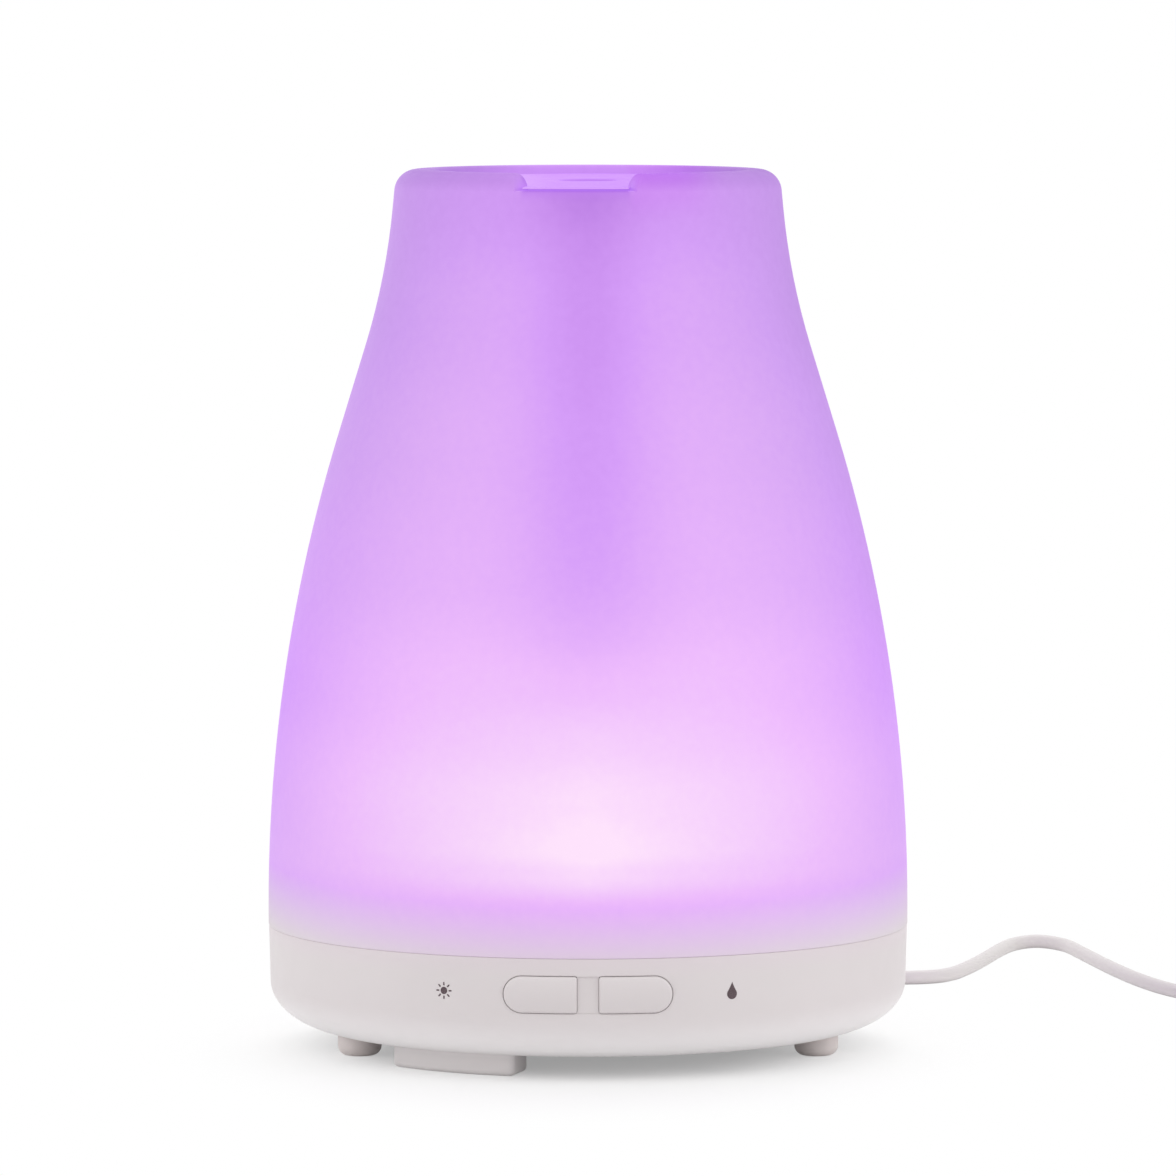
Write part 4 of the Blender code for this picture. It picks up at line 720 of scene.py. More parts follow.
@dataclass(frozen=True)
class SoftRubber(Finish):
    """Dull rubber or flexible vinyl with a fine skin."""

    tones: Flat = option((0.04, 350.0))
    sheen: Flat = option((0.07, 700.0))
    skin: float = 0.000012  # its depth
    skin_waves: float = 2600.0

    def fill(self, recipe: Recipe) -> None:
        """Sets up the shader.

        Args:
            recipe: The material under construction.
        """
        skin = recipe.relief(recipe.noise(self.skin_waves, 3.0), self.skin)
        recipe.set(Base_Color=self.varied(recipe), Normal=skin, Specular_IOR_Level=0.3)
        recipe.set(Roughness=self.rough(recipe))


@dataclass(frozen=True)
class WorkedMetal(Finish):
    """Bare or plated metal with fine lines from its making along one axis."""

    tones: Flat = option((0.03, 500.0))
    sheen: Flat = option((0.08, 900.0))
    lines: Spot = (1.0, 1.0, 12.0)  # how much finer the marks are along each axis
    depth: float = 0.000004

    def fill(self, recipe: Recipe) -> None:
        """Sets up the shader.

        Args:
            recipe: The material under construction.
        """
        spread, waves = self.sheen
        marks = recipe.noise(waves, 3.0, recipe.stretched(self.lines))
        recipe.set(Base_Color=self.varied(recipe), Metallic=1.0)
        recipe.set(Roughness=recipe.uneven(marks, self.roughness - spread, self.roughness + spread))
        recipe.set(Normal=recipe.relief(marks, self.depth))


@dataclass(frozen=True)
class CircuitBoard(Finish):
    """Lacquered board with buried tracks and bare pads."""

    tones: Flat = option((0.05, 300.0))
    track: Colour = (52, 104, 62)
    pad: Colour = (196, 190, 170)
    tracks: float = 320.0  # cells per metre between the tracks
    pads: float = 260.0  # pads per metre

    def fill(self, recipe: Recipe) -> None:
        """Sets up the shader.

        Args:
            recipe: The material under construction.
        """
        runs = recipe.cells(self.tracks, distance="CHEBYCHEV", feature="DISTANCE_TO_EDGE")
        dots = recipe.cells(self.pads)
        track = recipe.fall(runs, 0.05, 0.08)
        pad = recipe.fall(dots, 0.10, 0.13)
        lacquer = recipe.mix(track, self.varied(recipe), linear(self.track))
        recipe.set(Base_Color=recipe.mix(pad, lacquer, linear(self.pad)))
        recipe.set(Roughness=recipe.span(pad, 0.0, 1.0, self.roughness, self.roughness - 0.12))
        recipe.set(Normal=recipe.relief(recipe.maths("MAXIMUM", track, pad), 0.00003))


@dataclass(frozen=True)
class WoundWire(Finish):
    """Enamelled copper wire wound round an upright core."""

    tones: Flat = option((0.06, 800.0))
    sheen: Flat = option((0.05, 900.0))
    pitch: float = 0.00035
    depth: float = 0.00008

    def fill(self, recipe: Recipe) -> None:
        """Sets up the shader.

        Args:
            recipe: The material under construction.
        """
        sockets = {"Vector": recipe.place, "Scale": 1 / (20 * self.pitch) * 6.28 / 2}
        turns = recipe.node("TexWave", sockets, bands_direction="Z").outputs["Fac"]
        recipe.set(Base_Color=self.varied(recipe), Metallic=0.9)
        recipe.set(Roughness=self.rough(recipe), Normal=recipe.relief(turns, self.depth))


@dataclass(frozen=True)
class PrintedInk(Finish):
    """Dark ink from a pad print, with tiny gaps where the texture shows through."""

    sheen: Flat = option((0.06, 1500.0))
    worn: Colour = (128, 116, 120)

    def fill(self, recipe: Recipe) -> None:
        """Sets up the shader.

        Args:
            recipe: The material under construction.
        """
        gaps = recipe.span(recipe.noise(9000.0, 2.0), 0.58, 0.75)
        recipe.set(Base_Color=recipe.mix(gaps, linear(self.colour), linear(self.worn)))
        recipe.set(Roughness=self.rough(recipe), Specular_IOR_Level=0.25)
        recipe.set(Normal=recipe.relief(recipe.noise(5200.0), 0.000006))


@dataclass(frozen=True)
class GlazedCeramic(Finish):
    """Smooth ceramic with a ring of silvered electrode."""

    tones: Flat = option((0.02, 400.0))
    sheen: Flat = option((0.06, 900.0))
    silver: Colour = (206, 204, 200)
    reach: float = 0.0045

    def fill(self, recipe: Recipe) -> None:
        """Sets up the shader.

        Args:
            recipe: The material under construction.
        """
        plated = recipe.fall(recipe.distance(recipe.x, recipe.y), self.reach, self.reach + FINE)
        recipe.set(Base_Color=recipe.mix(plated, self.varied(recipe), linear(self.silver)))
        recipe.set(Metallic=recipe.span(plated, 0.0, 1.0, 0.0, 0.8))
        recipe.set(Roughness=self.rough(recipe))
        recipe.set(Normal=recipe.relief(recipe.noise(1200.0), 0.000004))


@dataclass(frozen=True)
class LampLens(Finish):
    """Milky plastic that glows by its emission: the lens of a lamp that is on, or the water tank, whose glow
    is painted light from the lamps under it.
    """

    tones: Flat = option((0.02, 500.0))
    sheen: Flat = option((0.05, 900.0))
    glow: Colour = (214, 130, 248)
    strength: float = 1.0

    def fill(self, recipe: Recipe) -> None:
        """Sets up the shader.

        Args:
            recipe: The material under construction.
        """
        uneven = recipe.uneven(recipe.noise(1500.0), 0.85, 1.0)
        recipe.set(Base_Color=self.varied(recipe), Roughness=self.rough(recipe))
        recipe.set(Emission_Color=recipe.scaled(linear(self.glow), uneven), Emission_Strength=self.strength)
        recipe.set(Normal=recipe.relief(recipe.noise(2200.0), 0.000006))


# Painted inner light of the frosted cover, against the share of the whole height: the level in the middle,
# painted shade towards the sides, the mist guide's painted shade band, the lamps' painted glow low down,
# painted shade on the right flank with painted light on the left, and the share of the painted side tint
MIDDLE_LEVEL: Stops = ((0.19, 0.704), (0.235, 0.762), (0.26, 0.778), (0.31, 0.799), (0.44, 0.759),
                       (0.56, 0.707), (0.70, 0.688), (0.85, 0.657), (0.97, 0.604))
PAINTED_SIDE_SHADE: Stops = ((0.19, 0.054), (0.235, 0.101), (0.26, 0.129), (0.31, 0.162), (0.44, 0.164),
                    (0.56, 0.105), (0.70, 0.089), (0.85, 0.076), (0.97, 0.020))
GUIDE_SHADE: Stops = ((0.38, 0.0), (0.44, 0.026), (0.50, 0.060), (0.60, 0.083), (0.74, 0.086),
                      (0.85, 0.078), (0.93, 0.066), (0.97, 0.088), (0.99, 0.0))
LAMP_SPOT: Stops = ((0.19, 0.0), (0.235, 0.096), (0.26, 0.143), (0.31, 0.076), (0.38, 0.028), (0.46, 0.0))
PAINTED_RIGHT_SHADE_LEFT_LIGHT: Stops = ((0.38, 0.0), (0.56, 0.030), (0.97, 0.030))
PAINTED_SIDE_TINT_SHARE: Stops = ((0.20, 0.45), (0.44, 0.05), (0.56, 0.45), (0.70, 0.85), (0.85, 1.0))

# The frosted cover's colour, against the level of its painted light
LIT_COLOURS: Stops = ((0.50, (187, 128, 227)), (0.555, (200, 142, 237)), (0.615, (213, 157, 248)),
                      (0.735, (237, 187, 252)), (0.89, (254, 227, 252)))


@dataclass(frozen=True)
class PaintedGlowPlastic(Finish):
    """Frosted plastic with the light of the lamps under the tank painted into its colour and emission.

    The painted glow is strongest just above the tank and fades towards the rim. Painted shade darkens a soft
    band down the front and the back where the mist guide stands, the sides towards the outline and the right
    flank. Lower down the plastic hides an opaque ring and looks plain, without the painted glow. Painted
    shade darkens the round of the rim and the edge under the notch, and painted light brightens the notch's
    walls.
    """

    sheen: Flat = option((0.04, 300.0))
    # colour where the opaque ring behind keeps out the painted glow
    plain: Colour = (219, 217, 211)
    top: float = 0.1371
    # share of the colour that the emission gives as painted glow
    share_lit: float = 0.55
    grain: float = 0.00001
    grain_waves: float = 3200.0
    flow: Flat = option((45.0, 0.00003))
    mottle: float = 0.006
    mottle_waves: float = 700.0
    guide_width: float = 15.0  # the higher, the narrower is the mist guide's band of painted shade
    notch: Spot = (0.1345, 0.0082, -0.0019)  # height of the notch's floor, half its width and its middle
    rim_round: Spot = (0.02677, 0.1336, 0.0035)  # radius and height of the round's middle, and its radius
    # tints of painted shade on the rim's round, at the notch, under the notch, at the crest's tip and beside
    # the notch
    painted_rim_shade: Colour = (232, 228, 238)
    painted_rim_shade_at_notch: Colour = (229, 198, 245)
    painted_shade_under_notch: Colour = (238, 224, 250)
    painted_tip_shade: Colour = (249, 243, 251)
    painted_shade_beside_notch: Colour = (254, 243, 255)
    painted_wall_light: Colour = (205, 146, 247)
    front_end: Flat = (0.0, 0.005)  # Y over which the painted shade of the front half gives way to that of the rear
    rear_spread: Flat = (0.30, 0.85)  # share of the way to the side over which the rear's middle, free of painted rim shade, ends
    # height of the painted shade at the crest's tip
    tip_height: float = 0.0006
    beside_start: Flat = (0.0055, 0.0075)  # X over which the painted shade beside the notch starts
    beside_end: Flat = (0.014, 0.022)  # and over which it ends
    # heights of the painted shade beside the notch; height and bend of the painted shade under it
    beside_height: Flat = (0.1290, 0.1345)
    under_height: float = 0.0024
    under_bend: float = 2.2
    covered: Flat = (0.0158, 0.0269)  # heights between which the plain colour over the opaque ring gives way to the painted glow
    covered_rise: float = 0.0025  # how much higher they are at the sides
    # heights over which the painted glow's share of emission rises to its full share
    lit_from: Flat = (0.0230, 0.0310)
    # painted tint of the sides towards the outline
    painted_side_tint: tuple[float, ...] = (0.874, 1.0, 0.873, 1.0)

    def mottled(self, recipe: Recipe) -> Socket:
        """Small changes of the level over the surface."""
        return recipe.uneven(recipe.noise(self.mottle_waves, 3.0), -self.mottle, self.mottle)

    def level(self, recipe: Recipe, across: Socket) -> Socket:
        """How bright the painted inner light is at each place, from 0 to 1.

        Args:
            recipe: The material under construction.
            across: Distance beside the middle plane over the distance from the axis, from -1 to 1.

        Returns:
            The level.
        """
        side = recipe.maths("ABSOLUTE", across)
        height = recipe.maths("DIVIDE", recipe.z, self.top)
        tables = (MIDDLE_LEVEL, PAINTED_SIDE_SHADE, GUIDE_SHADE, LAMP_SPOT, PAINTED_RIGHT_SHADE_LEFT_LIGHT)
        middle, loss, shade, lamp, lean = [recipe.stops(height, table) for table in tables]
        # painted shade towards the outline
        level = recipe.minus(middle, recipe.times(loss, recipe.power(side, 3.0)))
        # painted shade band where the mist guide stands
        band = recipe.maths("EXPONENT", recipe.times(recipe.power(side, 2.0), -self.guide_width))
        level = recipe.minus(level, recipe.times(shade, band))
        # painted glow of the lamps low down
        level = recipe.plus(level, recipe.times(lamp, recipe.power(recipe.minus(1.0, side), 2.0)))
        # painted shade on the right flank, painted light on the left
        return recipe.minus(level, recipe.times(lean, recipe.power(across, 15.0)))

    def rim(self, recipe: Recipe, side: Socket) -> Socket:
        """The tint of painted shade on the rim's round and tip, beside the notch and along the edge under the
        notch.

        Args:
            recipe: The material under construction.
            side: Distance beside the middle plane over the distance from the axis, from 0 to 1.

        Returns:
            The factor for each channel.
        """
        floor, half, middle = self.notch
        # painted shade over the rim's round, none in the rear's middle
        at_front = recipe.fall(recipe.y, *self.front_end)
        at_rear = recipe.times(recipe.span(recipe.y, *self.front_end), recipe.fall(side, *self.rear_spread))
        up = recipe.span(recipe.z, floor - 2 * FINE, self.top, kind="LINEAR")
        beside = recipe.stops(recipe.times(recipe.x, 10.0), (
            (0.060, self.painted_rim_shade), (0.075, self.painted_rim_shade_at_notch), (0.13, self.painted_rim_shade_at_notch), (0.22, self.painted_rim_shade)))
        tint = recipe.mix(recipe.times(recipe.minus(1.0, at_rear), up), WHITE, beside)

        # painted shade at the crest's tip, at the front
        tip = recipe.times(recipe.span(recipe.z, self.top - self.tip_height, self.top), at_front)
        tint = recipe.tinted(tip, tint, linear(self.painted_tip_shade))

        # painted shade beside the notch
        near = recipe.span(recipe.x, *self.beside_start)
        near = recipe.times(near, recipe.fall(recipe.x, *self.beside_end))
        near = recipe.times(near, recipe.span(recipe.z, *self.beside_height))
        tint = recipe.tinted(near, tint, linear(self.painted_shade_beside_notch))

        # painted shade along the edge under the notch
        apart = recipe.maths("ABSOLUTE", recipe.minus(recipe.x, middle))
        under = recipe.times(recipe.fall(apart, half - 3 * FINE, half + 8 * FINE),
                             recipe.span(recipe.z, floor - self.under_height, floor, kind="LINEAR"))
        under = recipe.times(recipe.power(under, self.under_bend), recipe.fall(recipe.y, -0.010, 0.0))
        return recipe.tinted(under, tint, linear(self.painted_shade_under_notch))

    def inside(self, recipe: Recipe, from_axis: Socket) -> Socket:
        """The share of painted light on the notch's walls at each place: inside the round of the rim, at the
        front.

        Args:
            recipe: The material under construction.
            from_axis: Distance from the axis.

        Returns:
            The share.
        """
        radius, height, rounding = self.rim_round
        reach = recipe.distance(recipe.minus(from_axis, radius), recipe.minus(recipe.z, height))
        share = recipe.fall(reach, rounding - 0.0028, rounding - 0.0003)
        share = recipe.times(share, recipe.span(recipe.z, self.notch[0] - 0.0005, self.notch[0]))
        return recipe.times(share, recipe.fall(recipe.y, -0.020, -0.015))

    def tone(self, recipe: Recipe) -> Socket:
        """The colour that the surface shows at each place, with its painted glow, shade and light.

        Args:
            recipe: The material under construction.

        Returns:
            The colour.
        """
        from_axis = recipe.distance(recipe.x, recipe.y)
        across = recipe.maths("DIVIDE", recipe.x, recipe.maths("MAXIMUM", from_axis, MM))
        squared = recipe.power(across, 2.0)
        level = recipe.plus(self.level(recipe, across), self.mottled(recipe))
        lit = recipe.stops(level, LIT_COLOURS, smooth=False)
        # painted side tint towards the outline, then the painted rim shade
        share = recipe.stops(recipe.maths("DIVIDE", recipe.z, self.top), PAINTED_SIDE_TINT_SHARE)
        edge = recipe.mix(recipe.times(share, squared), WHITE, self.painted_side_tint)
        rim = self.rim(recipe, recipe.maths("ABSOLUTE", across))
        lit = recipe.mix(1.0, recipe.mix(1.0, lit, edge, "MULTIPLY"), rim, "MULTIPLY")
        # painted light on the notch's walls
        lit = recipe.mix(self.inside(recipe, from_axis), lit, linear(self.painted_wall_light))
        # plain colour low down, where the opaque ring behind keeps out the painted glow
        lowered = recipe.minus(recipe.z, recipe.times(squared, self.covered_rise))
        return recipe.mix(recipe.fall(lowered, *self.covered, "LINEAR"), lit, linear(self.plain))

    def fill(self, recipe: Recipe) -> None:
        """Sets up the shader.

        Args:
            recipe: The material under construction.
        """
        tone = self.tone(recipe)
        # part of the tone goes into emission as painted glow
        lit = recipe.span(recipe.z, *self.lit_from, 0.1, self.share_lit)
        plain = recipe.minus(1.0, lit)
        recipe.set(Base_Color=recipe.scaled(tone, plain), Emission_Color=recipe.scaled(tone, lit))
        waves, depth = self.flow
        flow = recipe.relief(recipe.noise(waves, 1.0), depth)
        recipe.set(Emission_Strength=1.0, Roughness=self.rough(recipe), Specular_IOR_Level=0.06)
        recipe.set(Normal=recipe.relief(recipe.noise(self.grain_waves, 3.0), self.grain, flow))


@dataclass(frozen=True)
class RecessPlastic(PaintedGlowPlastic):
    """The same plastic where it lies over the lit space inside: evenly bright painted glow, a little lighter
    to the left, with a painted highlight along the front edge.
    """

    mottle: float = 0.02
    front: float = 0.0301
    painted_front_highlight: Colour = (228, 177, 254)
    painted_glow_left_to_right: Stops = ((0.22, (211, 160, 248)), (0.42, (203, 143, 247)), (0.70, (201, 140, 246)))

    def tone(self, recipe: Recipe) -> Socket:
        """The colour that the surface shows at each place.

        Args:
            recipe: The material under construction.

        Returns:
            The colour.
        """
        aside = recipe.plus(recipe.times(recipe.x, 20.0), self.mottled(recipe))
        floor = recipe.stops(recipe.plus(aside, 0.5), self.painted_glow_left_to_right)
        share = recipe.span(recipe.distance(recipe.x, recipe.y), self.front - 2 * FINE, self.front)
        return recipe.mix(share, floor, linear(self.painted_front_highlight))


@dataclass(frozen=True)
class StudioFloor(Finish):
    """The pale floor: real near the object, where it takes the shadow, and even white further off."""

    tones: Flat = option((0.002, 4.0))
    near: float = 0.030
    far: float = 0.095
    least: float = 0.30  # share of the even white at the object itself
    across: float = 1.35  # how much sooner the shadow ends sideways

    def fill(self, recipe: Recipe) -> None:
        """Sets up the shader.

        Args:
            recipe: The material under construction.
        """
        recipe.set(Base_Color=self.varied(recipe), Roughness=1.0, Specular_IOR_Level=0.0)
        recipe.set(Normal=recipe.relief(recipe.noise(400.0), 0.00001))
        away = recipe.distance(recipe.times(recipe.x, self.across), recipe.y)
        paths = recipe.node("LightPath", {}).outputs
        seen = recipe.maths("MAXIMUM", paths["Is Camera Ray"], paths["Is Glossy Ray"])
        seen = recipe.maths("MAXIMUM", seen, paths["Is Transmission Ray"])
        white = recipe.node("Emission", {"Color": WHITE, "Strength": 1.0})
        share = recipe.times(recipe.span(away, self.near, self.far, self.least), seen)
        mixed = recipe.node("MixShader", {0: share, 1: recipe.shader.outputs[0], 2: white.outputs[0]})
        recipe.tree.links.new(mixed.outputs[0], recipe.tree.nodes["Material Output"].inputs["Surface"])


FROSTED = PaintedGlowPlastic("frosted cover plastic", (214, 160, 245), 0.6)
RECESS = RecessPlastic("recess floor plastic", (214, 160, 245), 0.6)
HOUSING = BaseShellPlastic("off-white housing plastic", (217, 211, 211), 0.42)
INNER_PLASTIC = MouldedPlastic("off-white inner plastic", (222, 217, 217), 0.45)
BUTTON = ButtonPlastic("button plastic", (226, 220, 220), 0.36, 0.000005)
# The tank's emission is painted glow from the lamps under it.
TANK = LampLens("milky tank plastic", (226, 218, 228), 0.35, (214, 190, 226), 0.25)
INK = PrintedInk("warm grey ink", (90, 76, 80), 0.6)
FOOT = SoftRubber("foot rubber", (230, 221, 219), 0.62, tones=(0.015, 350.0))
SEAL = SoftRubber("seal rubber", (190, 188, 190), 0.6)
CORD = SoftRubber("cord skin", (220, 216, 214), 0.5, 0.000001, tones=(0.006, 350.0))
ADAPTER = MouldedPlastic("adapter plastic", (228, 225, 224), 0.4)
STEEL = WorkedMetal("screw steel", (176, 176, 180), 0.32)
NICKEL = WorkedMetal("nickel plate", (206, 202, 192), 0.22, (1.0, 12.0, 1.0))
SINK = WorkedMetal("heat sink aluminium", (188, 190, 194), 0.38)
WIRE = WoundWire("enamelled copper wire", (176, 96, 52), 0.3)
SLEEVE = MouldedPlastic("capacitor sleeve", (40, 46, 74), 0.3, 0.000003)
CERAMIC = GlazedCeramic("disc ceramic", (216, 208, 186), 0.3)
BOARD = CircuitBoard("circuit board", (34, 84, 48), 0.32)
LENS = LampLens("lamp lens", (245, 236, 250), 0.25, (226, 150, 252), 2.0)
BLACK = MouldedPlastic("black plastic", (34, 34, 36), 0.48)


def dress(piece: Piece, finish: Finish) -> None:
    """Gives a piece its finish in place of any it had."""
    piece.data.materials.clear()
    piece.data.materials.append(finish.material())


def settle(piece: Piece, finish: Finish, body: str, slot: str, *nodes: str) -> Piece:
    """Dresses a new piece and ties it to the frame.

    Args:
        piece: The piece, in its place.
        finish: Its finish.
        body: The body that it moves with.
        slot: The record's material slot that it stands for; not used.
        *nodes: The CAD nodes that it replaces.

    Returns:
        The piece.
    """
    dress(piece, finish)
    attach(piece, body)
    if nodes:
        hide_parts(*nodes)
    LOG.info("%s rides on %s and stands for %s", piece.name, body, ", ".join(nodes) or "no node")
    return piece


def keep(node: str, finish: Finish, edge: float = 0.0, steps: int = 2) -> Piece:
    """Keeps a CAD node as it is, with a finish and softened edges.

    Args:
        node: Name of the node.
        finish: Its finish.
        edge: Width of the soft edges; none if 0.
        steps: Number of faces across a soft edge.

    Returns:
        The node's object.
    """
    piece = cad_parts[node]
    dress(piece, finish)
    shade_edged(piece.data)
    if edge:
        weld = piece.modifiers.new("weld", "WELD")
        weld.merge_threshold = WELD_REACH
        bevel = piece.modifiers.new("soft edges", "BEVEL")
        bevel.width = edge
        bevel.segments = steps
        bevel.limit_method = "ANGLE"
        bevel.angle_limit = radians(Shading.EDGED.value)
        bevel.harden_normals = False
    LOG.info("%s keeps its CAD shape", node)
    return piece


# Studio


@dataclass
class Studio:
    """The camera, the lamps and the pale floor."""

    distance: float = 1.32916
    height: float = 0.17249
    pitch: float = 4.335
    lens: float = 261.3
    lamp_aim: float = 0.06  # height of the object's middle
    floor_half: float = 30.0
    dome: float = 0.77  # strength of the even light

    def camera(self) -> Piece:
        """Sets the camera in front of the object, a little above it.

        Returns:
            The camera.
        """
        data = bpy.data.cameras.new("camera")
        data.lens = self.lens
        data.sensor_width = 36.0
        data.clip_end = 100.0
        made = bpy.data.objects.new("camera", data)
        made.location = (0.0, -self.distance, self.height)
        made.rotation_euler = (radians(90 - self.pitch), 0.0, 0.0)
        bpy.context.scene.collection.objects.link(made)
        bpy.context.scene.camera = made
        return made

    def lamp(self, name: str, place: Spot, size: float, power: float) -> None:
        """Hangs a square lamp that faces the middle of the object.

        Args:
            name: Name of the lamp.
            place: Where it hangs.
            size: Its side.
            power: Its power in watts.
        """
        data = bpy.data.lights.new(name, "AREA")
        data.size = size
        data.energy = power
        made = bpy.data.objects.new(name, data)
        made.location = place
        aim = Vector((0.0, 0.0, self.lamp_aim)) - Vector(place)
        made.rotation_euler = aim.to_track_quat("-Z", "Y").to_euler()
        bpy.context.scene.collection.objects.link(made)

    def sky(self) -> None:
        """Lights the scene evenly and shows white behind it."""
        world = bpy.data.worlds.new("studio")
        world.use_nodes = True
        bpy.context.scene.world = world
        tree = world.node_tree
        path = tree.nodes.new("ShaderNodeLightPath").outputs
        seen = path["Is Camera Ray"]
        for other in ("Is Glossy Ray", "Is Transmission Ray"):
            either = tree.nodes.new("ShaderNodeMath")
            either.operation = "MAXIMUM"
            tree.links.new(seen, either.inputs[0])
            tree.links.new(path[other], either.inputs[1])
            seen = either.outputs[0]
        strength = tree.nodes.new("ShaderNodeMapRange")
        tree.links.new(seen, strength.inputs[0])
        strength.inputs[3].default_value = self.dome
        strength.inputs[4].default_value = 1.0
        back = tree.nodes["Background"]
        back.inputs["Color"].default_value = WHITE
        tree.links.new(strength.outputs[0], back.inputs["Strength"])

    def ground(self) -> None:
        """Lays the floor under the object."""
        half = self.floor_half
        shape = Shape()
        shape.fill(shape.ring([(x, y, 0.0) for x, y in box_outline(-half, half, -half, half)]))
        made = shape.finished("studio_floor")
        dress(made, StudioFloor("studio floor", (250, 250, 250), 1.0))

    def build(self) -> None:
        """Sets up the whole studio."""
        bpy.context.scene.view_settings.view_transform = "Standard"
        self.camera()
        self.sky()
        self.lamp("rear_softbox", (0.1, 0.95, 1.35), 0.9, 7.0)
        self.lamp("left_softbox", (-1.3, -0.6, 0.6), 0.9, 4.2)
        self.lamp("right_softbox", (1.3, -0.6, 0.6), 0.9, 4.8)
        self.ground()
        LOG.info("the studio stands")


# Power lead


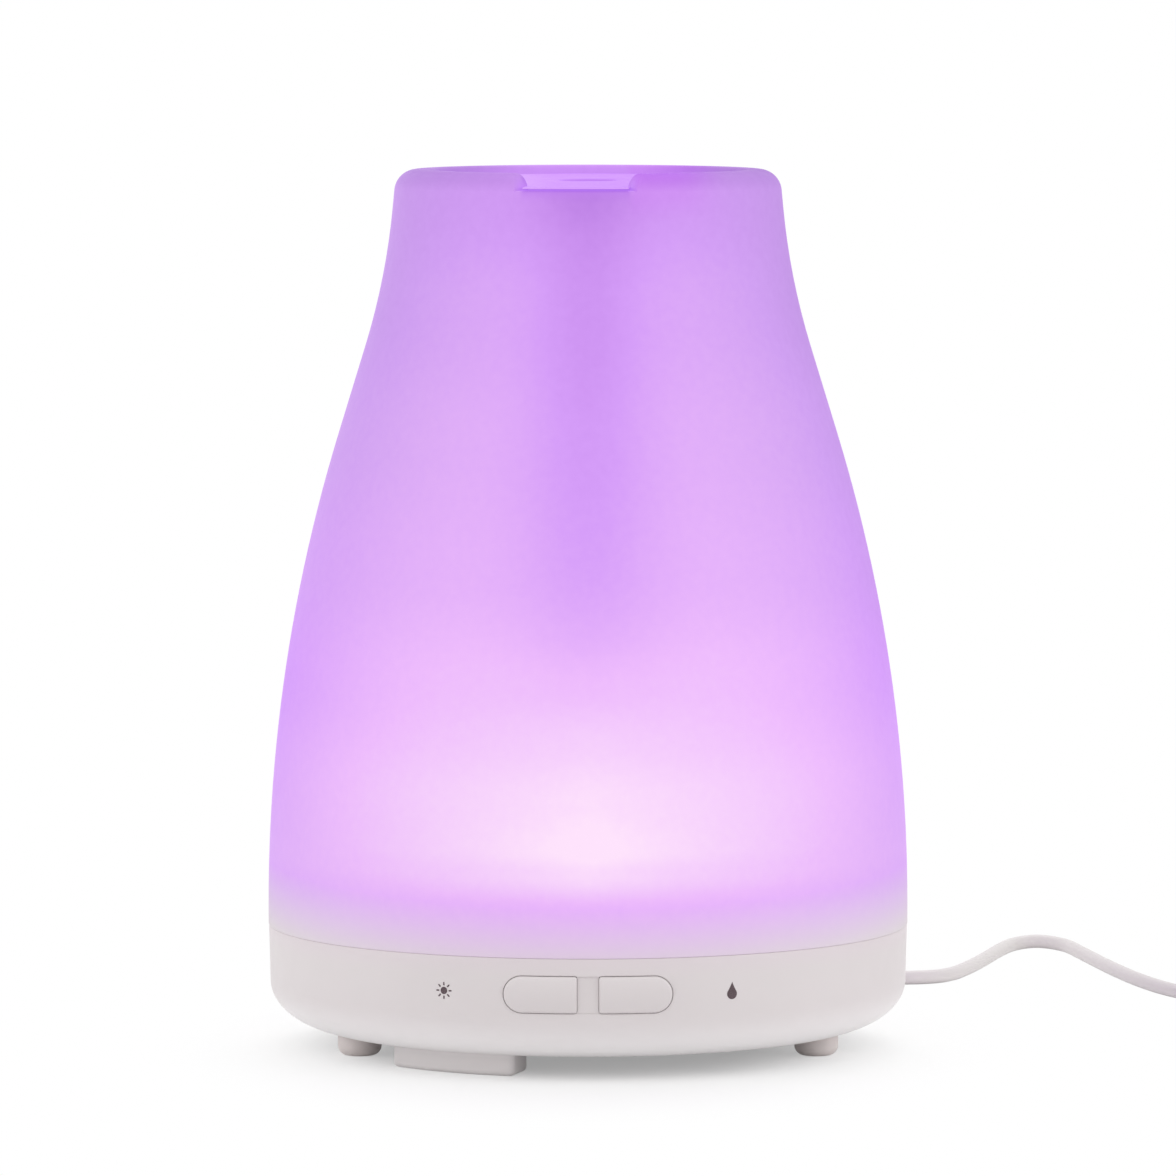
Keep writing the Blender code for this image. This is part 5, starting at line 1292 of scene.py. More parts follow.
@dataclass
class PowerLead:
    """The lead: a ribbed plug, 1.5 m of cord with its coil and tie, and the wall adapter."""

    length: float = 1.5
    cord_radius: float = 0.00115
    plug_face: float = 0.0457
    plug_end: float = 0.0737
    plug_height: float = PLUG_HEIGHT
    plug_radius: float = 0.0043
    grip_length: float = 0.0170
    waist: float = 0.0026
    coil: Flat = (0.1260, 0.0400)
    slot_pitch: float = 0.00235
    slot_first: Flat = (0.009675, 0.002075)  # radius and height of the innermost, lowest turn
    coil_start: float = 183.0
    coil_end: float = 272.0
    turns: tuple[tuple[int, int], ...] = (  # slot of each turn, counted outwards and upwards
        (3, 0), (2, 0), (1, 0), (0, 0), (0, 1), (0, 2), (1, 3), (1, 2), (1, 1), (2, 1), (2, 2), (2, 3),
        (3, 3), (3, 2), (3, 1))
    points_per_turn: int = 20

    def outward_route(self) -> list[Spot]:
        """The free stretch from the plug to the coil.

        Returns:
            Points of its middle line.
        """
        drop = self.cord_radius
        z, y = self.plug_height, self.plug_end
        falling = [(0.0, y - 0.0010, z), (0.0, y + 0.0040, z - 0.0003), (0.0010, y + 0.0085, z - 0.0030)]
        falling += [(0.0045, y + 0.0130, z - 0.0072), (0.0110, 0.0898, drop + 0.0006)]
        lying = [(0.0200, 0.0893), (0.0300, 0.0859), (0.0400, 0.0808), (0.0480, 0.0777), (0.0535, 0.0768)]
        lying += [(0.0580, 0.0786), (0.0607, 0.0824), (0.0628, 0.0880), (0.0651, 0.0957), (0.0674, 0.1046)]
        lying += [(0.0695, 0.1132), (0.0719, 0.1215)]
        bend = [(0.0730, 0.1235, 0.00008), (0.0748, 0.1249, 0.00025), (0.0769, 0.1253, 0.00036)]
        bend += [(0.0790, 0.1249, 0.00025), (0.0808, 0.1235, 0.00008)]
        back = [(0.0819, 0.1215), (0.0833, 0.1143), (0.0847, 0.1062), (0.0865, 0.0958), (0.0885, 0.0854)]
        back += [(0.0910, 0.0742), (0.0945, 0.0627), (0.0984, 0.0545), (0.1030, 0.0490), (0.1067, 0.0434)]
        over = [(x, y, drop + lift) for x, y, lift in bend]
        return falling + [(x, y, drop) for x, y in lying] + over + [(x, y, drop) for x, y in back]

    def turn_point(self, turned: float) -> Spot:
        """A point of the winding.

        Args:
            turned: How far the winding has gone, in turns.

        Returns:
            The point.
        """
        index = min(int(turned), len(self.turns) - 1)
        after = min(index + 1, len(self.turns) - 1)
        share = soft_step(0.72, 1.0, turned - index)
        place = Vector(self.turns[index]).lerp(Vector(self.turns[after]), share)
        radius = self.slot_first[0] + self.slot_pitch * place.x
        height = self.slot_first[1] + self.slot_pitch * place.y
        if turned < 0.2:
            height = blend_between(self.cord_radius, height, soft_step(0.0, 0.2, turned))
        angle = radians(self.coil_start + 360 * turned)
        return (self.coil[0] + radius * cos(angle), self.coil[1] + radius * sin(angle), height)

    def winding(self) -> list[Spot]:
        """The coil's turns, from where the cord joins it to where it leaves.

        Returns:
            Points of its middle line.
        """
        total = len(self.turns) - 1 + (self.coil_end - self.coil_start) / 360
        steps = ceil(total * self.points_per_turn)
        return [self.turn_point(total * i / steps) for i in range(steps + 1)]

    def adapter_route(self) -> list[Spot]:
        """The free stretch from the coil to the adapter.

        Returns:
            Points of its middle line.
        """
        x, y = self.coil
        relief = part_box("adapter_relief")
        end_x, end_y, end_z = (relief[0].x + relief[1].x) / 2, relief[0].y, (relief[0].z + relief[1].z) / 2
        low = self.cord_radius
        route = [(x + 0.0065, y - 0.0177, low + 0.0018), (x + 0.0118, y - 0.0186, low + 0.0003)]
        route += [(x + 0.0180, y - 0.0240, low), (x + 0.0215, y - 0.0335, low), (x + 0.0235, y - 0.0440, low)]
        route += [(x + 0.0280, y - 0.0540, low), (end_x - 0.0085, end_y - 0.0215, low)]
        route += [(end_x - 0.0025, end_y - 0.0190, low + 0.0008), (end_x, end_y - 0.0125, end_z - 0.0040)]
        route += [(end_x, end_y - 0.0055, end_z - 0.0008), (end_x, end_y + 0.0010, end_z)]
        return route

    def cord(self, plug: Piece) -> Piece:
        """Lays the whole cord as one smooth curve, without overshoot between the route's points.

        Args:
            plug: The plug's overmould, which is on the cord; not used.

        Returns:
            The cord.
        """
        route = self.outward_route() + self.winding() + self.adapter_route()
        data = bpy.data.curves.new("lead_cord", "CURVE")
        data.dimensions = "3D"
        data.resolution_u = 8
        data.bevel_depth = self.cord_radius
        data.bevel_resolution = 8
        data.use_fill_caps = True
        spline = data.splines.new("BEZIER")
        spline.bezier_points.add(len(route) - 1)
        ends = [Vector(place) for place in route]
        ends = [2 * ends[0] - ends[1], *ends, 2 * ends[-1] - ends[-2]]
        for point, before, here, after in zip(spline.bezier_points, ends, ends[1:], ends[2:]):
            point.handle_left_type = point.handle_right_type = "FREE"
            first, last = sqrt((here - before).length), sqrt((after - here).length)
            along = (here - before) * last / first + (after - here) * first / last
            along /= 3 * (first + last)
            point.co = here
            point.handle_left, point.handle_right = here - along * first, here + along * last
        made = bpy.data.objects.new("lead_cord", data)
        bpy.context.scene.collection.objects.link(made)
        settle(made, CORD, "power_lead", "cord_rubber", "power_cord", "cord_coil", "adapter_cord")
        on_cord = ["plug_barrel", "coil_tie"]
        on_cord += [f"adapter_{end}" for end in ("back", "front", "prong_1", "prong_2", "relief")]
        return made

    def plug(self) -> Piece:
        """Builds the overmould: a grip with ribs, and a relief that tapers to the cord in rings.

        Returns:
            The overmould.
        """
        grip_end = self.plug_face + self.grip_length
        front, rear = 0.0008, 0.0012  # rounds at the ends of the grip
        outline = [(0.0, self.plug_face)]
        outline += arc((self.plug_radius - front, self.plug_face + front), front, -90, 0, 4)
        rib, ribs, depth = 0.0016, 5, 0.00035
        for i in range(ribs):
            low = self.plug_face + 0.0052 + i * rib
            outline += [(self.plug_radius, low), (self.plug_radius - depth, low + 0.25 * rib)]
            outline += [(self.plug_radius - depth, low + 0.55 * rib), (self.plug_radius, low + 0.8 * rib)]
        outline += arc((self.plug_radius - rear, grip_end - rear), rear, 0, 80, 4)
        start, rings, depth = grip_end + 0.0006, 6, 0.00045
        neck = self.plug_end - grip_end - 0.0006
        step = neck / rings
        for i in range(rings):
            low = start + neck * i / rings
            radius = blend_between(self.waist, self.cord_radius + 0.0004, i / rings)
            outline += [(radius, low), (radius, low + 0.45 * step)]
            outline += [(radius - depth, low + 0.55 * step), (radius - depth, low + 0.92 * step)]
        outline += [(self.cord_radius + 0.00025, self.plug_end), (0.0, self.plug_end)]
        made = turned_piece("plug_grip", outline, Sides.STUD, pointing_back(self.plug_height))
        return settle(made, CORD, "power_lead", "cord_rubber", "plug_body")

    def build(self) -> None:
        """Builds the lead and dresses the pieces on it that keep their CAD shape."""
        self.cord(self.plug())
        for kept in (("plug_barrel", NICKEL, 0.0002), ("coil_tie", BLACK, 0.0002),
                     ("adapter_back", ADAPTER, 0.0006, 3), ("adapter_front", ADAPTER, 0.0006, 3),
                     ("adapter_relief", CORD, 0.0003), ("adapter_prong_1", NICKEL, 0.0002),
                     ("adapter_prong_2", NICKEL, 0.0002)):
            keep(*kept)


# Base


class Side(Enum):
    """Which of the two buttons, as the sign of its X."""

    LIGHT = -1
    MIST = 1


@dataclass
class ButtonPlace:
    """Where the button windows are and how big: two halves of a stadium with a bridge between them."""

    height: float = 0.01387
    length: float = 0.0257
    tall: float = 0.0057
    bridge: float = 0.0032
    corner: float = 0.0004
    least_corner: float = 0.00015

    def outline(self, side: Side, inset: float, steps: int = 10) -> list[Flat]:
        """Half of the stadium, with its corners at the bridge a little round.

        Args:
            side: Which half.
            inset: How far inside the opening the outline runs; below 0 it runs outside.
            steps: Number of stretches in a quarter of the round end.

        Returns:
            Its points as (x, height), from the bridge outwards along the top and back along the bottom.
        """
        half = self.tall / 2 - inset
        start = self.bridge / 2 + inset
        middle = self.length / 2 - self.tall / 2
        corner = max(self.corner - inset, self.least_corner)
        upper = [(start, half - corner), (start + 0.3 * corner, half - 0.3 * corner), (start + corner, half)]
        upper += [(blend_between(start + corner, middle, i / 5), half) for i in range(1, 5)]
        upper += arc((middle, 0.0), half, 90, 0, steps)
        whole = upper + [(x, -z) for x, z in upper[-2::-1]]
        return [(side.value * x, self.height + z) for x, z in whole]


@dataclass
class Housing:
    """The outer shell of the base with its windows, bridge and plug hole."""

    windows: ButtonPlace = field(default_factory=ButtonPlace)
    radius: float = field(default_factory=lambda: radius_of("base_shell"))
    top: float = field(default_factory=lambda: high_of("base_shell").z + SEAM_CLOSING)
    taper: float = 0.0002
    round_width: float = 0.0110
    round_height: float = 0.0073
    underside: float = 0.0032
    wall: float = 0.0025
    rim_wall: float = 0.0018
    plate_radius: float = PLATE_RADIUS
    lip: Spot = (0.0398, 0.0059, 0.0074)  # its inner radius, lower and upper height
    deck: float = 0.0172
    bridge_sink: float = 0.00035
    plug_hole: float = 0.0048
    plug_height: float = PLUG_HEIGHT
    plug_edge: float = 0.0006
    edge: float = 0.00015
    sides: int = 180

    def flat_radius(self) -> float:
        """Where the round of the underside starts."""
        return self.radius - self.taper - self.round_width

    def round_point(self, turn: float) -> Flat:
        """A point of the round underside, at an angle in degrees from level.

        Args:
            turn: The angle.

        Returns:
            Its radius and height.
        """
        turned = radians(turn)
        height = self.underside + self.round_height * (1 - sin(turned))
        return (self.flat_radius() + self.round_width * cos(turned), height)

    def outline(self) -> list[Flat]:
        """The section of the shell.

        Returns:
            The points as (radius, height).
        """
        opening = self.plate_radius + GAP
        last = degrees(asin(sqrt(1 - ((opening - self.flat_radius()) / self.round_width) ** 2)))
        edge = self.edge
        points = arc((self.radius - edge, self.top - edge), edge, 90, 0, 3)
        points += [(self.radius, self.top - 0.0012), (self.radius - self.taper * 0.5, 0.0150)]
        points += [self.round_point(last * i / 22) for i in range(23)]
        corner_x, corner_z = points[-1]
        points[-1] = (corner_x + FINE, corner_z + 0.3 * FINE)
        points += [(corner_x, corner_z + FINE), (opening, self.lip[1]), (self.lip[0], self.lip[1])]
        points += [(self.lip[0], self.lip[2]), (self.flat_radius() + 0.0045, self.lip[2] + 0.0006)]
        inner = self.radius - self.taper - self.wall
        points += [(inner - 0.0012, self.lip[2] + 0.0028), (inner, self.lip[2] + 0.0055), (inner, self.deck)]
        points += [(self.radius - self.rim_wall, self.deck), (self.radius - self.rim_wall, self.top)]
        return points

    def wrapped(self, x: float, height: float, proud: float) -> Vector:
        """A point of the front at a distance outside the wall."""
        reach = self.wall_radius(height) + proud
        return Vector((x, -sqrt(reach**2 - x**2), height))

    def wall_radius(self, height: float) -> float:
        """The radius of the wall at a height, which shrinks a little downwards.

        Args:
            height: The height.

        Returns:
            The radius.
        """
        round_top = self.underside + self.round_height
        if height >= round_top:
            share = (self.top - height) / (self.top - round_top)
            return self.radius - self.taper * min(1.0, max(0.0, share))
        turned = asin(min(1.0, (round_top - height) / self.round_height))
        return self.flat_radius() + self.round_width * cos(turned)

    def follow_window(self, shape: Shape, side: Side, levels: Iterable[Flat]) -> None:
        """Adds a closed form that has the outline of a button window and follows the round of the wall.

        Args:
            shape: The shape that takes it.
            side: Which window.
            levels: How far inside the window and how far outside the wall it is at each level.
        """
        rings = []
        for inset, proud in levels:
            outline = self.windows.outline(side, inset)
            rings.append(shape.ring([self.wrapped(x, z, proud) for x, z in outline]))
        shape.skin(rings)
        for ring in (rings[0], rings[-1]):
            half = len(ring) // 2
            shape.skin([ring[: half + 1], ring[:half - 1:-1]], round_closed=False)

    def window_tool(self, side: Side) -> Piece:
        """The shape that cuts a button window with a small round at its edge.

        Args:
            side: Which window.

        Returns:
            The tool.
        """
        shape = Shape()
        levels = [(0.0, -0.0060), (0.0, -self.edge)]
        levels += [(-aside, -below) for aside, below in edge_steps(self.edge, (30, 55, 75, 90))]
        self.follow_window(shape, side, [*levels, (-1.6 * self.edge, 0.0030)])
        return shape.finished("window_tool")

    def bridge_tool(self) -> Piece:
        """The shape that sinks the bridge between the windows.

        Returns:
            The tool.
        """
        shape = Shape()
        half = self.windows.bridge / 2 + GAP
        low, high = (self.windows.height + s * self.windows.tall / 2 for s in (-1, 1))
        front = -self.radius + self.bridge_sink
        shape.prism(box_outline(-half, half, front, front - 0.0030), low, high)
        return shape.finished("bridge_tool")

    def plug_tool(self) -> Piece:
        """The shape that cuts the plug hole with a round at its edge.

        Returns:
            The tool.
        """
        hole, edge = self.plug_hole, self.plug_edge
        wall = self.radius - (self.radius - sqrt(self.radius**2 - hole**2)) / 2
        outline = [(0.0, self.radius - 0.0070), (hole, self.radius - 0.0070), (hole, wall - edge)]
        outline += [(hole + aside, wall - below) for aside, below in edge_steps(edge, (30, 60, 90))]
        outline += [(hole + 2 * edge, self.radius + 0.0030), (0.0, self.radius + 0.0030)]
        return turned_piece("plug_tool", outline, Sides.BORE, pointing_back(self.plug_height))

    def build(self) -> None:
        """Builds the shell."""
        shell = turned_piece("housing_shell", self.outline(), self.sides)
        carve(shell, [self.window_tool(side) for side in Side] + [self.bridge_tool(), self.plug_tool()])
        settle(shell, HOUSING, "base", "white_plastic", "base_shell")


@dataclass
class Buttons:
    """The two push buttons, whose faces follow the round of the housing."""

    housing: Housing
    proud: float = 0.0004
    clearance: float = 0.00006
    edge: float = 0.0004
    depth: float = 0.0024
    plunger: float = 0.0012
    flange: Flat = (0.0008, 0.0006)  # thickness, and radius of its corners

    def cap(self, side: Side) -> Piece:
        """Builds one cap with a rounded rim.

        Args:
            side: Which button.

        Returns:
            The cap.
        """
        shape, windows, inset = Shape(), self.housing.windows, self.clearance
        levels = [(inset, -self.depth), (inset, self.proud - self.edge)]
        levels += [(inset + aside, self.proud - below) for aside, below in edge_steps(self.edge)]
        self.housing.follow_window(shape, side, levels)

        node = f"{side.name.lower()}_button"
        low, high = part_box(node)
        thickness, corner = self.flange
        x = side.value * (windows.bridge + windows.length) / 4
        reach = high.y - self.housing.wrapped(x, windows.height, -self.depth).y + 0.0006
        place = pointing_front((x, high.y, windows.height))
        shape.turn(box_outline(0.0, self.plunger, 0.0, reach), Sides.PIN, place)
        flange = box_outline(low.x + FINE, high.x - FINE, low.z + FINE, high.z - FINE)
        shape.prism(soften_all(flange, corner), 0.0, thickness, pointing_front((0.0, high.y - 0.0006, 0.0)))
        return settle(shape.finished(f"{node}_cap"), BUTTON, node, "button_plastic", node)

    def build(self) -> None:
        """Builds both caps."""
        for side in Side:
            self.cap(side)


@dataclass
class Markings:
    """A small sun beside the light button and a small drop beside the mist button, printed on the housing."""

    housing: Housing
    azimuth: float = 26.0
    height: float = 0.0140
    size: float = 0.00265
    ink: float = 0.00003  # how far it stands out
    sunk: float = 0.00005  # how far it reaches into the wall

    def print_outline(self, shape: Shape, outline: Sequence[Flat], azimuth: float) -> None:
        """Lays a closed outline of ink on the wall.

        Args:
            shape: The shape that takes it.
            outline: Points round the mark's middle.
            azimuth: Where the mark's middle is.
        """
        layers = []
        for proud in (-self.sunk, self.ink):
            reaches = [self.housing.wall_radius(self.height + v) + proud for _, v in outline]
            layers.append([around(reach, azimuth + degrees(u / reach), self.height + v)
                           for reach, (u, v) in zip(reaches, outline)])
        shape.stack(layers)

    def sun(self) -> Piece:
        """Prints the sun: a disc with eight rays.

        Returns:
            The mark.
        """
        shape = Shape()
        half = self.size / 2
        self.print_outline(shape, arc((0.0, 0.0), 0.42 * half, 0, 345, 23), -self.azimuth)
        for i in range(8):
            turn = Matrix.Rotation(radians(45 * i), 2)
            ray = [(0.60, -0.085), (0.93, -0.075), (1.0, 0.0), (0.93, 0.075), (0.60, 0.085)]
            outline = [tuple(turn @ Vector((u * half, v * half))) for u, v in ray]
            self.print_outline(shape, outline, -self.azimuth)
        return shape.finished("sun_mark")

    def drop(self) -> Piece:
        """Prints the drop: a round body that runs to a point.

        Returns:
            The mark.
        """
        shape = Shape()
        half = self.size / 2
        radius, middle = 0.62 * half, -0.38 * half
        body = arc((0.0, middle), radius, 25, -205, 24)
        width, start = body[-1]
        shares = (0.25, 0.5, 0.75, 0.92)
        flank = [(width * (1 - share) ** 1.2, blend_between(start, half, share)) for share in shares]
        mirrored = [(-x, z) for x, z in reversed(flank)]
        self.print_outline(shape, body + flank + [(0.0, half)] + mirrored, self.azimuth)
        return shape.finished("drop_mark")

    def build(self) -> None:
        """Prints both marks."""
        for mark in (self.sun(), self.drop()):
            settle(mark, INK, "base", "white_plastic")


@dataclass
class BottomCover:
    """The plate under the base with its moulded standing block, air grille, screw wells, feet and screws."""

    housing: Housing
    radius: float = PLATE_RADIUS
    top: float = 0.0056
    foot_radius: float = 0.0034
    foot_edge: float = 0.0015
    foot_recess: float = 0.0006
    foot_circle: float = 0.0376
    foot_azimuths: tuple[float, ...] = (-70.5, 70.5, 180.0)
    block: Flat = (0.0328, 0.0403)
    block_azimuths: Flat = (-48.5, -16.3)
    block_edge: float = 0.0008
    block_corner: float = 0.0009
    screw_wells: Flat = (0.0016, 0.0028)  # radius of the bore and of the well for the head
    well_depth: float = 0.0014
    overcut: float = 0.001
    screw_edge: float = 0.00015
    grille: Spot = (0.0016, 0.0032, 0.0116)  # width and pitch of the slots, radius of the fan's bore
    slots: int = 6

    def outline(self) -> list[Flat]:
        """The section of the plate, with its round edge in line with the housing's.

        Returns:
            The points as (radius, height).
        """
        flat = self.housing.flat_radius()
        width = self.housing.round_width
        first = degrees(asin(sqrt(1 - ((self.radius - flat) / width) ** 2)))
        points = [(0.0, self.top), (self.radius - 2 * FINE, self.top), (self.radius, self.top - 2 * FINE)]
        points += [self.housing.round_point(blend_between(first, 90, i / 12)) for i in range(13)]
        return points + [(0.0, self.housing.underside)]

    def block_shape(self) -> Piece:
        """The standing block: a stretch of a ring with round corners and a round lower edge.

        Returns:
            The block.
        """
        shape = Shape()
        levels = [(0.0, self.housing.underside + 0.0012), (0.0, self.block_edge)]
        levels += edge_steps(self.block_edge)
        shape.stack([(x, y, height) for x, y in self.block_outline(inset)] for inset, height in levels)
        return shape.finished("block_tool")

    def block_outline(self, inset: float) -> list[Flat]:
        """The block's outline from above, drawn in by a distance.

        Args:
            inset: The distance.

        Returns:
            The points as (x, y).
        """
        inner, outer = self.block
        first, last = self.block_azimuths
        middle = (inner + outer) / 2
        length, width = radians(last - first) * middle / 2 - inset, (outer - inner) / 2 - inset
        corner = max(self.block_corner - inset, 0.0002)
        flat = spread(soften_all(box_outline(length, -length, width, -width), corner, 6), MM)
        return [tuple(around(middle + y, (first + last) / 2 + degrees(x / middle)).xy) for x, y in flat]

    def openings(self) -> Piece:
        """The shape that cuts the foot seats, the screw wells and the grille.

        Returns:
            The tool.
        """
        shape = Shape()
        low, out = self.housing.underside, self.housing.underside - self.overcut
        for azimuth in self.foot_azimuths:
            seat = box_outline(0.0, self.foot_radius + GAP, low + self.foot_recess, out)
            shape.turn(seat, Sides.STUD, moved_to(self.foot_circle, azimuth))
        bore, head = self.screw_wells
        through, step = self.top + self.overcut, low + self.well_depth
        well = [(0.0, through), (bore, through), (bore, step), (head, step), (head, low + 0.0002)]
        well += [(head + 0.0004, low - 0.0002), (head + 0.0004, out), (0.0, out)]
        for azimuth in SCREW_AZIMUTHS:
            shape.turn(well, Sides.WELL, moved_to(SCREW_CIRCLE, azimuth))
        place = Matrix.Translation((*FAN_PLACE, 0.0)) @ turned_round(FAN_AZIMUTH)
        width, pitch, bore = self.grille
        for i in range(self.slots):
            across = (i - (self.slots - 1) / 2) * pitch
            half = sqrt(bore**2 - (abs(across) + width / 2) ** 2) - 0.0012
            ends = arc((across, half - width / 2), width / 2, 0, 180, 8)
            ends += arc((across, width / 2 - half), width / 2, 180, 360, 8)
            shape.prism(ends, out, through, place)
        return shape.finished("underside_tool")

    def feet(self) -> None:
        """Builds the three round feet."""
        top, edge = self.housing.underside + self.foot_recess - GAP, self.foot_edge
        outline = [(0.0, top), (self.foot_radius - 0.0002, top), (self.foot_radius, top - 0.0002)]
        outline += arc((self.foot_radius - edge, edge), edge, 0, -90, 8)
        outline += [(0.0, 0.0)]
        for name, azimuth in zip(("side_foot_left", "side_foot_right", "rear_foot"), self.foot_azimuths):
            pad = turned_piece(f"{name}_pad", outline, Sides.STUD, moved_to(self.foot_circle, azimuth))
            settle(pad, FOOT, "base", "foot_rubber", name)

    def build(self) -> None:
        """Builds the plate, the feet and the screws."""
        plate = turned_piece("bottom_plate", self.outline(), Sides.WIDE)
        carve(plate, [self.block_shape()], "UNION")
        carve(plate, [self.openings()])
        settle(plate, HOUSING, "base", "white_plastic", "bottom_cover")
        self.feet()
        for i in range(len(SCREW_AZIMUTHS)):
            keep(f"base_screw_{i + 1}", STEEL, self.screw_edge)


# Tank, fan and electronics


@dataclass
class Tank:
    """The collar, the water tank with its air chimney and nozzle, and the ultrasonic disc under the tank."""

    collar: Flat = (0.0476, 0.0020)  # radius and wall
    collar_top: float = field(default_factory=lambda: high_of("tank_collar").z)
    deck: Spot = (0.0175, 0.0190, 0.0328)  # lower and upper height, radius of the opening
    boss: Flat = (0.0032, 0.0059)  # radius and lower end
    boss_bore: float = 0.0016
    key: Flat = (0.0465, 0.0193)  # depth of the keyway and its lower end
    key_width: float = 0.0040
    tank: Spot = (0.0453, 0.0438, 0.0465)  # radius outside, inside and of the flange
    flange: float = 0.0015
    above_collar: float = 0.0070
    floor: Flat = (0.0193, 0.0208)
    floor_bevel: float = 0.0028
    well: Spot = (0.0160, 0.0110, 0.0165)  # radius outside and inside, lower end
    well_hole: float = 0.0080
    chimney: Spot = (0.0072, 0.0060, 0.0440)  # radius outside and inside, top
    nozzle: Flat = (0.0012, 0.0015)  # thickness of its wall and roof
    mouth: Flat = (0.0096, 0.0006)  # width and corners
    lamp_posts: tuple[float, ...] = (-45.0, 55.0, 155.0)
    post: Spot = (0.0016, 0.0008, 0.0244)  # radius of the post and of its pin, circle
    lamp_board: Flat = (0.0166, 0.0174)
    clamp_screws: Spot = (0.0011, 0.0135, 60.0)  # radius of the holes, circle and first azimuth
    clamp_edge: float = 0.00012
    seal: Spot = (0.0083, 0.0007, 0.00045)  # inner radius, thickness of its rim and of its lips

    def build_collar(self) -> None:
        """Builds the ring that carries the tank, with its screw bosses and keyways."""
        radius, wall = self.collar
        low, deck, opening = self.deck
        inner = radius - wall
        outline = [(radius, self.collar_top), (radius, low), (opening, low), (opening, deck)]
        outline += [(inner, deck), (inner, self.collar_top)]
        outline = soften(outline, {0: 0.0005, 3: 0.0004, 4: 0.0008, 5: 0.0005})
        collar = turned_piece("collar_ring", outline, Sides.WIDE)
        bosses, cuts = Shape(), Shape()
        for azimuth in SCREW_AZIMUTHS:
            spot = moved_to(SCREW_CIRCLE, azimuth)
            bosses.turn(box_outline(0.0, self.boss[0], deck - 0.0005, self.boss[1]), Sides.BOSS, spot)
            cuts.turn(box_outline(0.0, self.boss_bore, deck - 0.0030, 0.0), Sides.PIN, spot)
        depth, bottom = self.key
        half = self.key_width / 2
        for side in (-90, 90):
            keyway = box_outline(-half, half, -2 * depth, -depth)
            cuts.prism(keyway, bottom, 2 * self.collar_top, turned_round(NOTCH_AZIMUTH + side))
        carve(collar, [bosses.finished("boss_tool")], "UNION")
        carve(collar, [cuts.finished("collar_cuts")])
        settle(collar, INNER_PLASTIC, "base", "white_plastic", "tank_collar")

    def bowl_outline(self) -> list[Flat]:
        """The section of the bowl with its rim, flange and well.

        Returns:
            The points as (radius, height).
        """
        outer, inner, flange = self.tank
        under, floor_top = self.floor
        top = self.collar_top + self.above_collar
        ledge = self.collar_top + GAP
        well_outer, well_inner, well_low = self.well
        outline = [(self.well_hole, floor_top), (inner - self.floor_bevel, floor_top)]
        outline += [(inner, floor_top + self.floor_bevel), (inner, top), (outer, top)]
        outline += [(outer, ledge + self.flange), (flange, ledge + self.flange), (flange, ledge)]
        outline += [(outer, ledge), (outer, under)]
        outline += [(well_outer, under), (well_outer, well_low), (well_inner, well_low), (well_inner, under)]
        rounds = {0: 0.0005, 1: 0.0012, 2: 0.0012, 3: 0.00055, 4: 0.00055, 6: 0.0005, 9: 0.0006}
        return soften([*outline, (self.well_hole, under)], rounds, 5)

    def build_tank(self) -> None:
        """Builds the bowl with its chimney and posts."""
        under, floor_top = self.floor
        inside = (under + floor_top) / 2
        bowl = turned_piece("tank_bowl", self.bowl_outline(), Sides.WIDE)
        added, cuts = Shape(), Shape()
        spot = Matrix.Translation((*FAN_PLACE, 0.0))
        radius, bore, high = self.chimney
        added.turn(soften(box_outline(0.0, radius, high, inside), {1: 0.0004}), Sides.BORE, spot)
        post, pin, circle = self.post
        board_low, board_top = self.lamp_board
        outline = [(0.0, inside), (post, inside), (post, board_top + GAP), (pin, board_top + GAP)]
        outline += [(pin, board_low - 0.0008), (0.0, board_low - 0.0008)]
        for azimuth in self.lamp_posts:
            added.turn(outline, Sides.PIN, moved_to(circle, azimuth))
        funnel = [(0.0, 2 * high), (bore + 0.0030, 2 * high), (bore, high - 0.0002), (bore, 0.0), (0.0, 0.0)]
        cuts.turn(funnel, Sides.BORE, spot)
        hole, circle, first = self.clamp_screws
        for i in range(3):
            cuts.turn(box_outline(0.0, hole, under, 0.0), Sides.SCREW, moved_to(circle, first + 120 * i))
        carve(bowl, [added.finished("tank_added")], "UNION")
        carve(bowl, [cuts.finished("tank_cuts")])
        settle(bowl, TANK, "base", "tank_plastic", "water_tank")

    def build_nozzle(self) -> None:
        """Builds the cap on the chimney with its side mouth."""
        low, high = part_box("air_nozzle")
        radius = (high.y - low.y) / 2
        wall, roof = self.nozzle
        inner = radius - wall
        outline = [(0.0, high.z), (radius, high.z), (radius, low.z), (inner, low.z)]
        outline += [(inner, high.z - roof), (0.0, high.z - roof)]
        place = Matrix.Translation((*FAN_PLACE, 0.0)) @ turned_round(FAN_AZIMUTH)
        outline = soften(outline, {1: 0.0012, 2: 0.0003, 3: 0.0003}, 5)
        nozzle = turned_piece("nozzle_cap", outline, Sides.TUBE, place)
        tool = Shape()
        width, corner = self.mouth
        mouth = box_outline(-width / 2, width / 2, self.chimney[2] + GAP, high.z - roof - GAP)
        tool.prism(soften_all(mouth, corner), 0.0, 2 * radius, place @ turned_round(90) @ pointing_front())
        carve(nozzle, [tool.finished("mouth_tool")])
        settle(nozzle, INNER_PLASTIC, "base", "white_plastic", "air_nozzle")

    def build_disc(self) -> None:
        """Builds the ultrasonic disc and its seal, and dresses the clamp with its screws."""
        low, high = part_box("ultrasonic_disc")
        radius = high.x
        outline = [(0.0, high.z - FINE), (radius * 0.55, high.z - FINE), (radius * 0.62, high.z)]
        outline += [(radius, high.z), (radius, low.z), (0.0, low.z)]
        disc = turned_piece("mist_disc", soften(outline, {3: 0.0002, 4: 0.0002}), Sides.DISC)
        settle(disc, CERAMIC, "base", "disc_ceramic", "ultrasonic_disc")

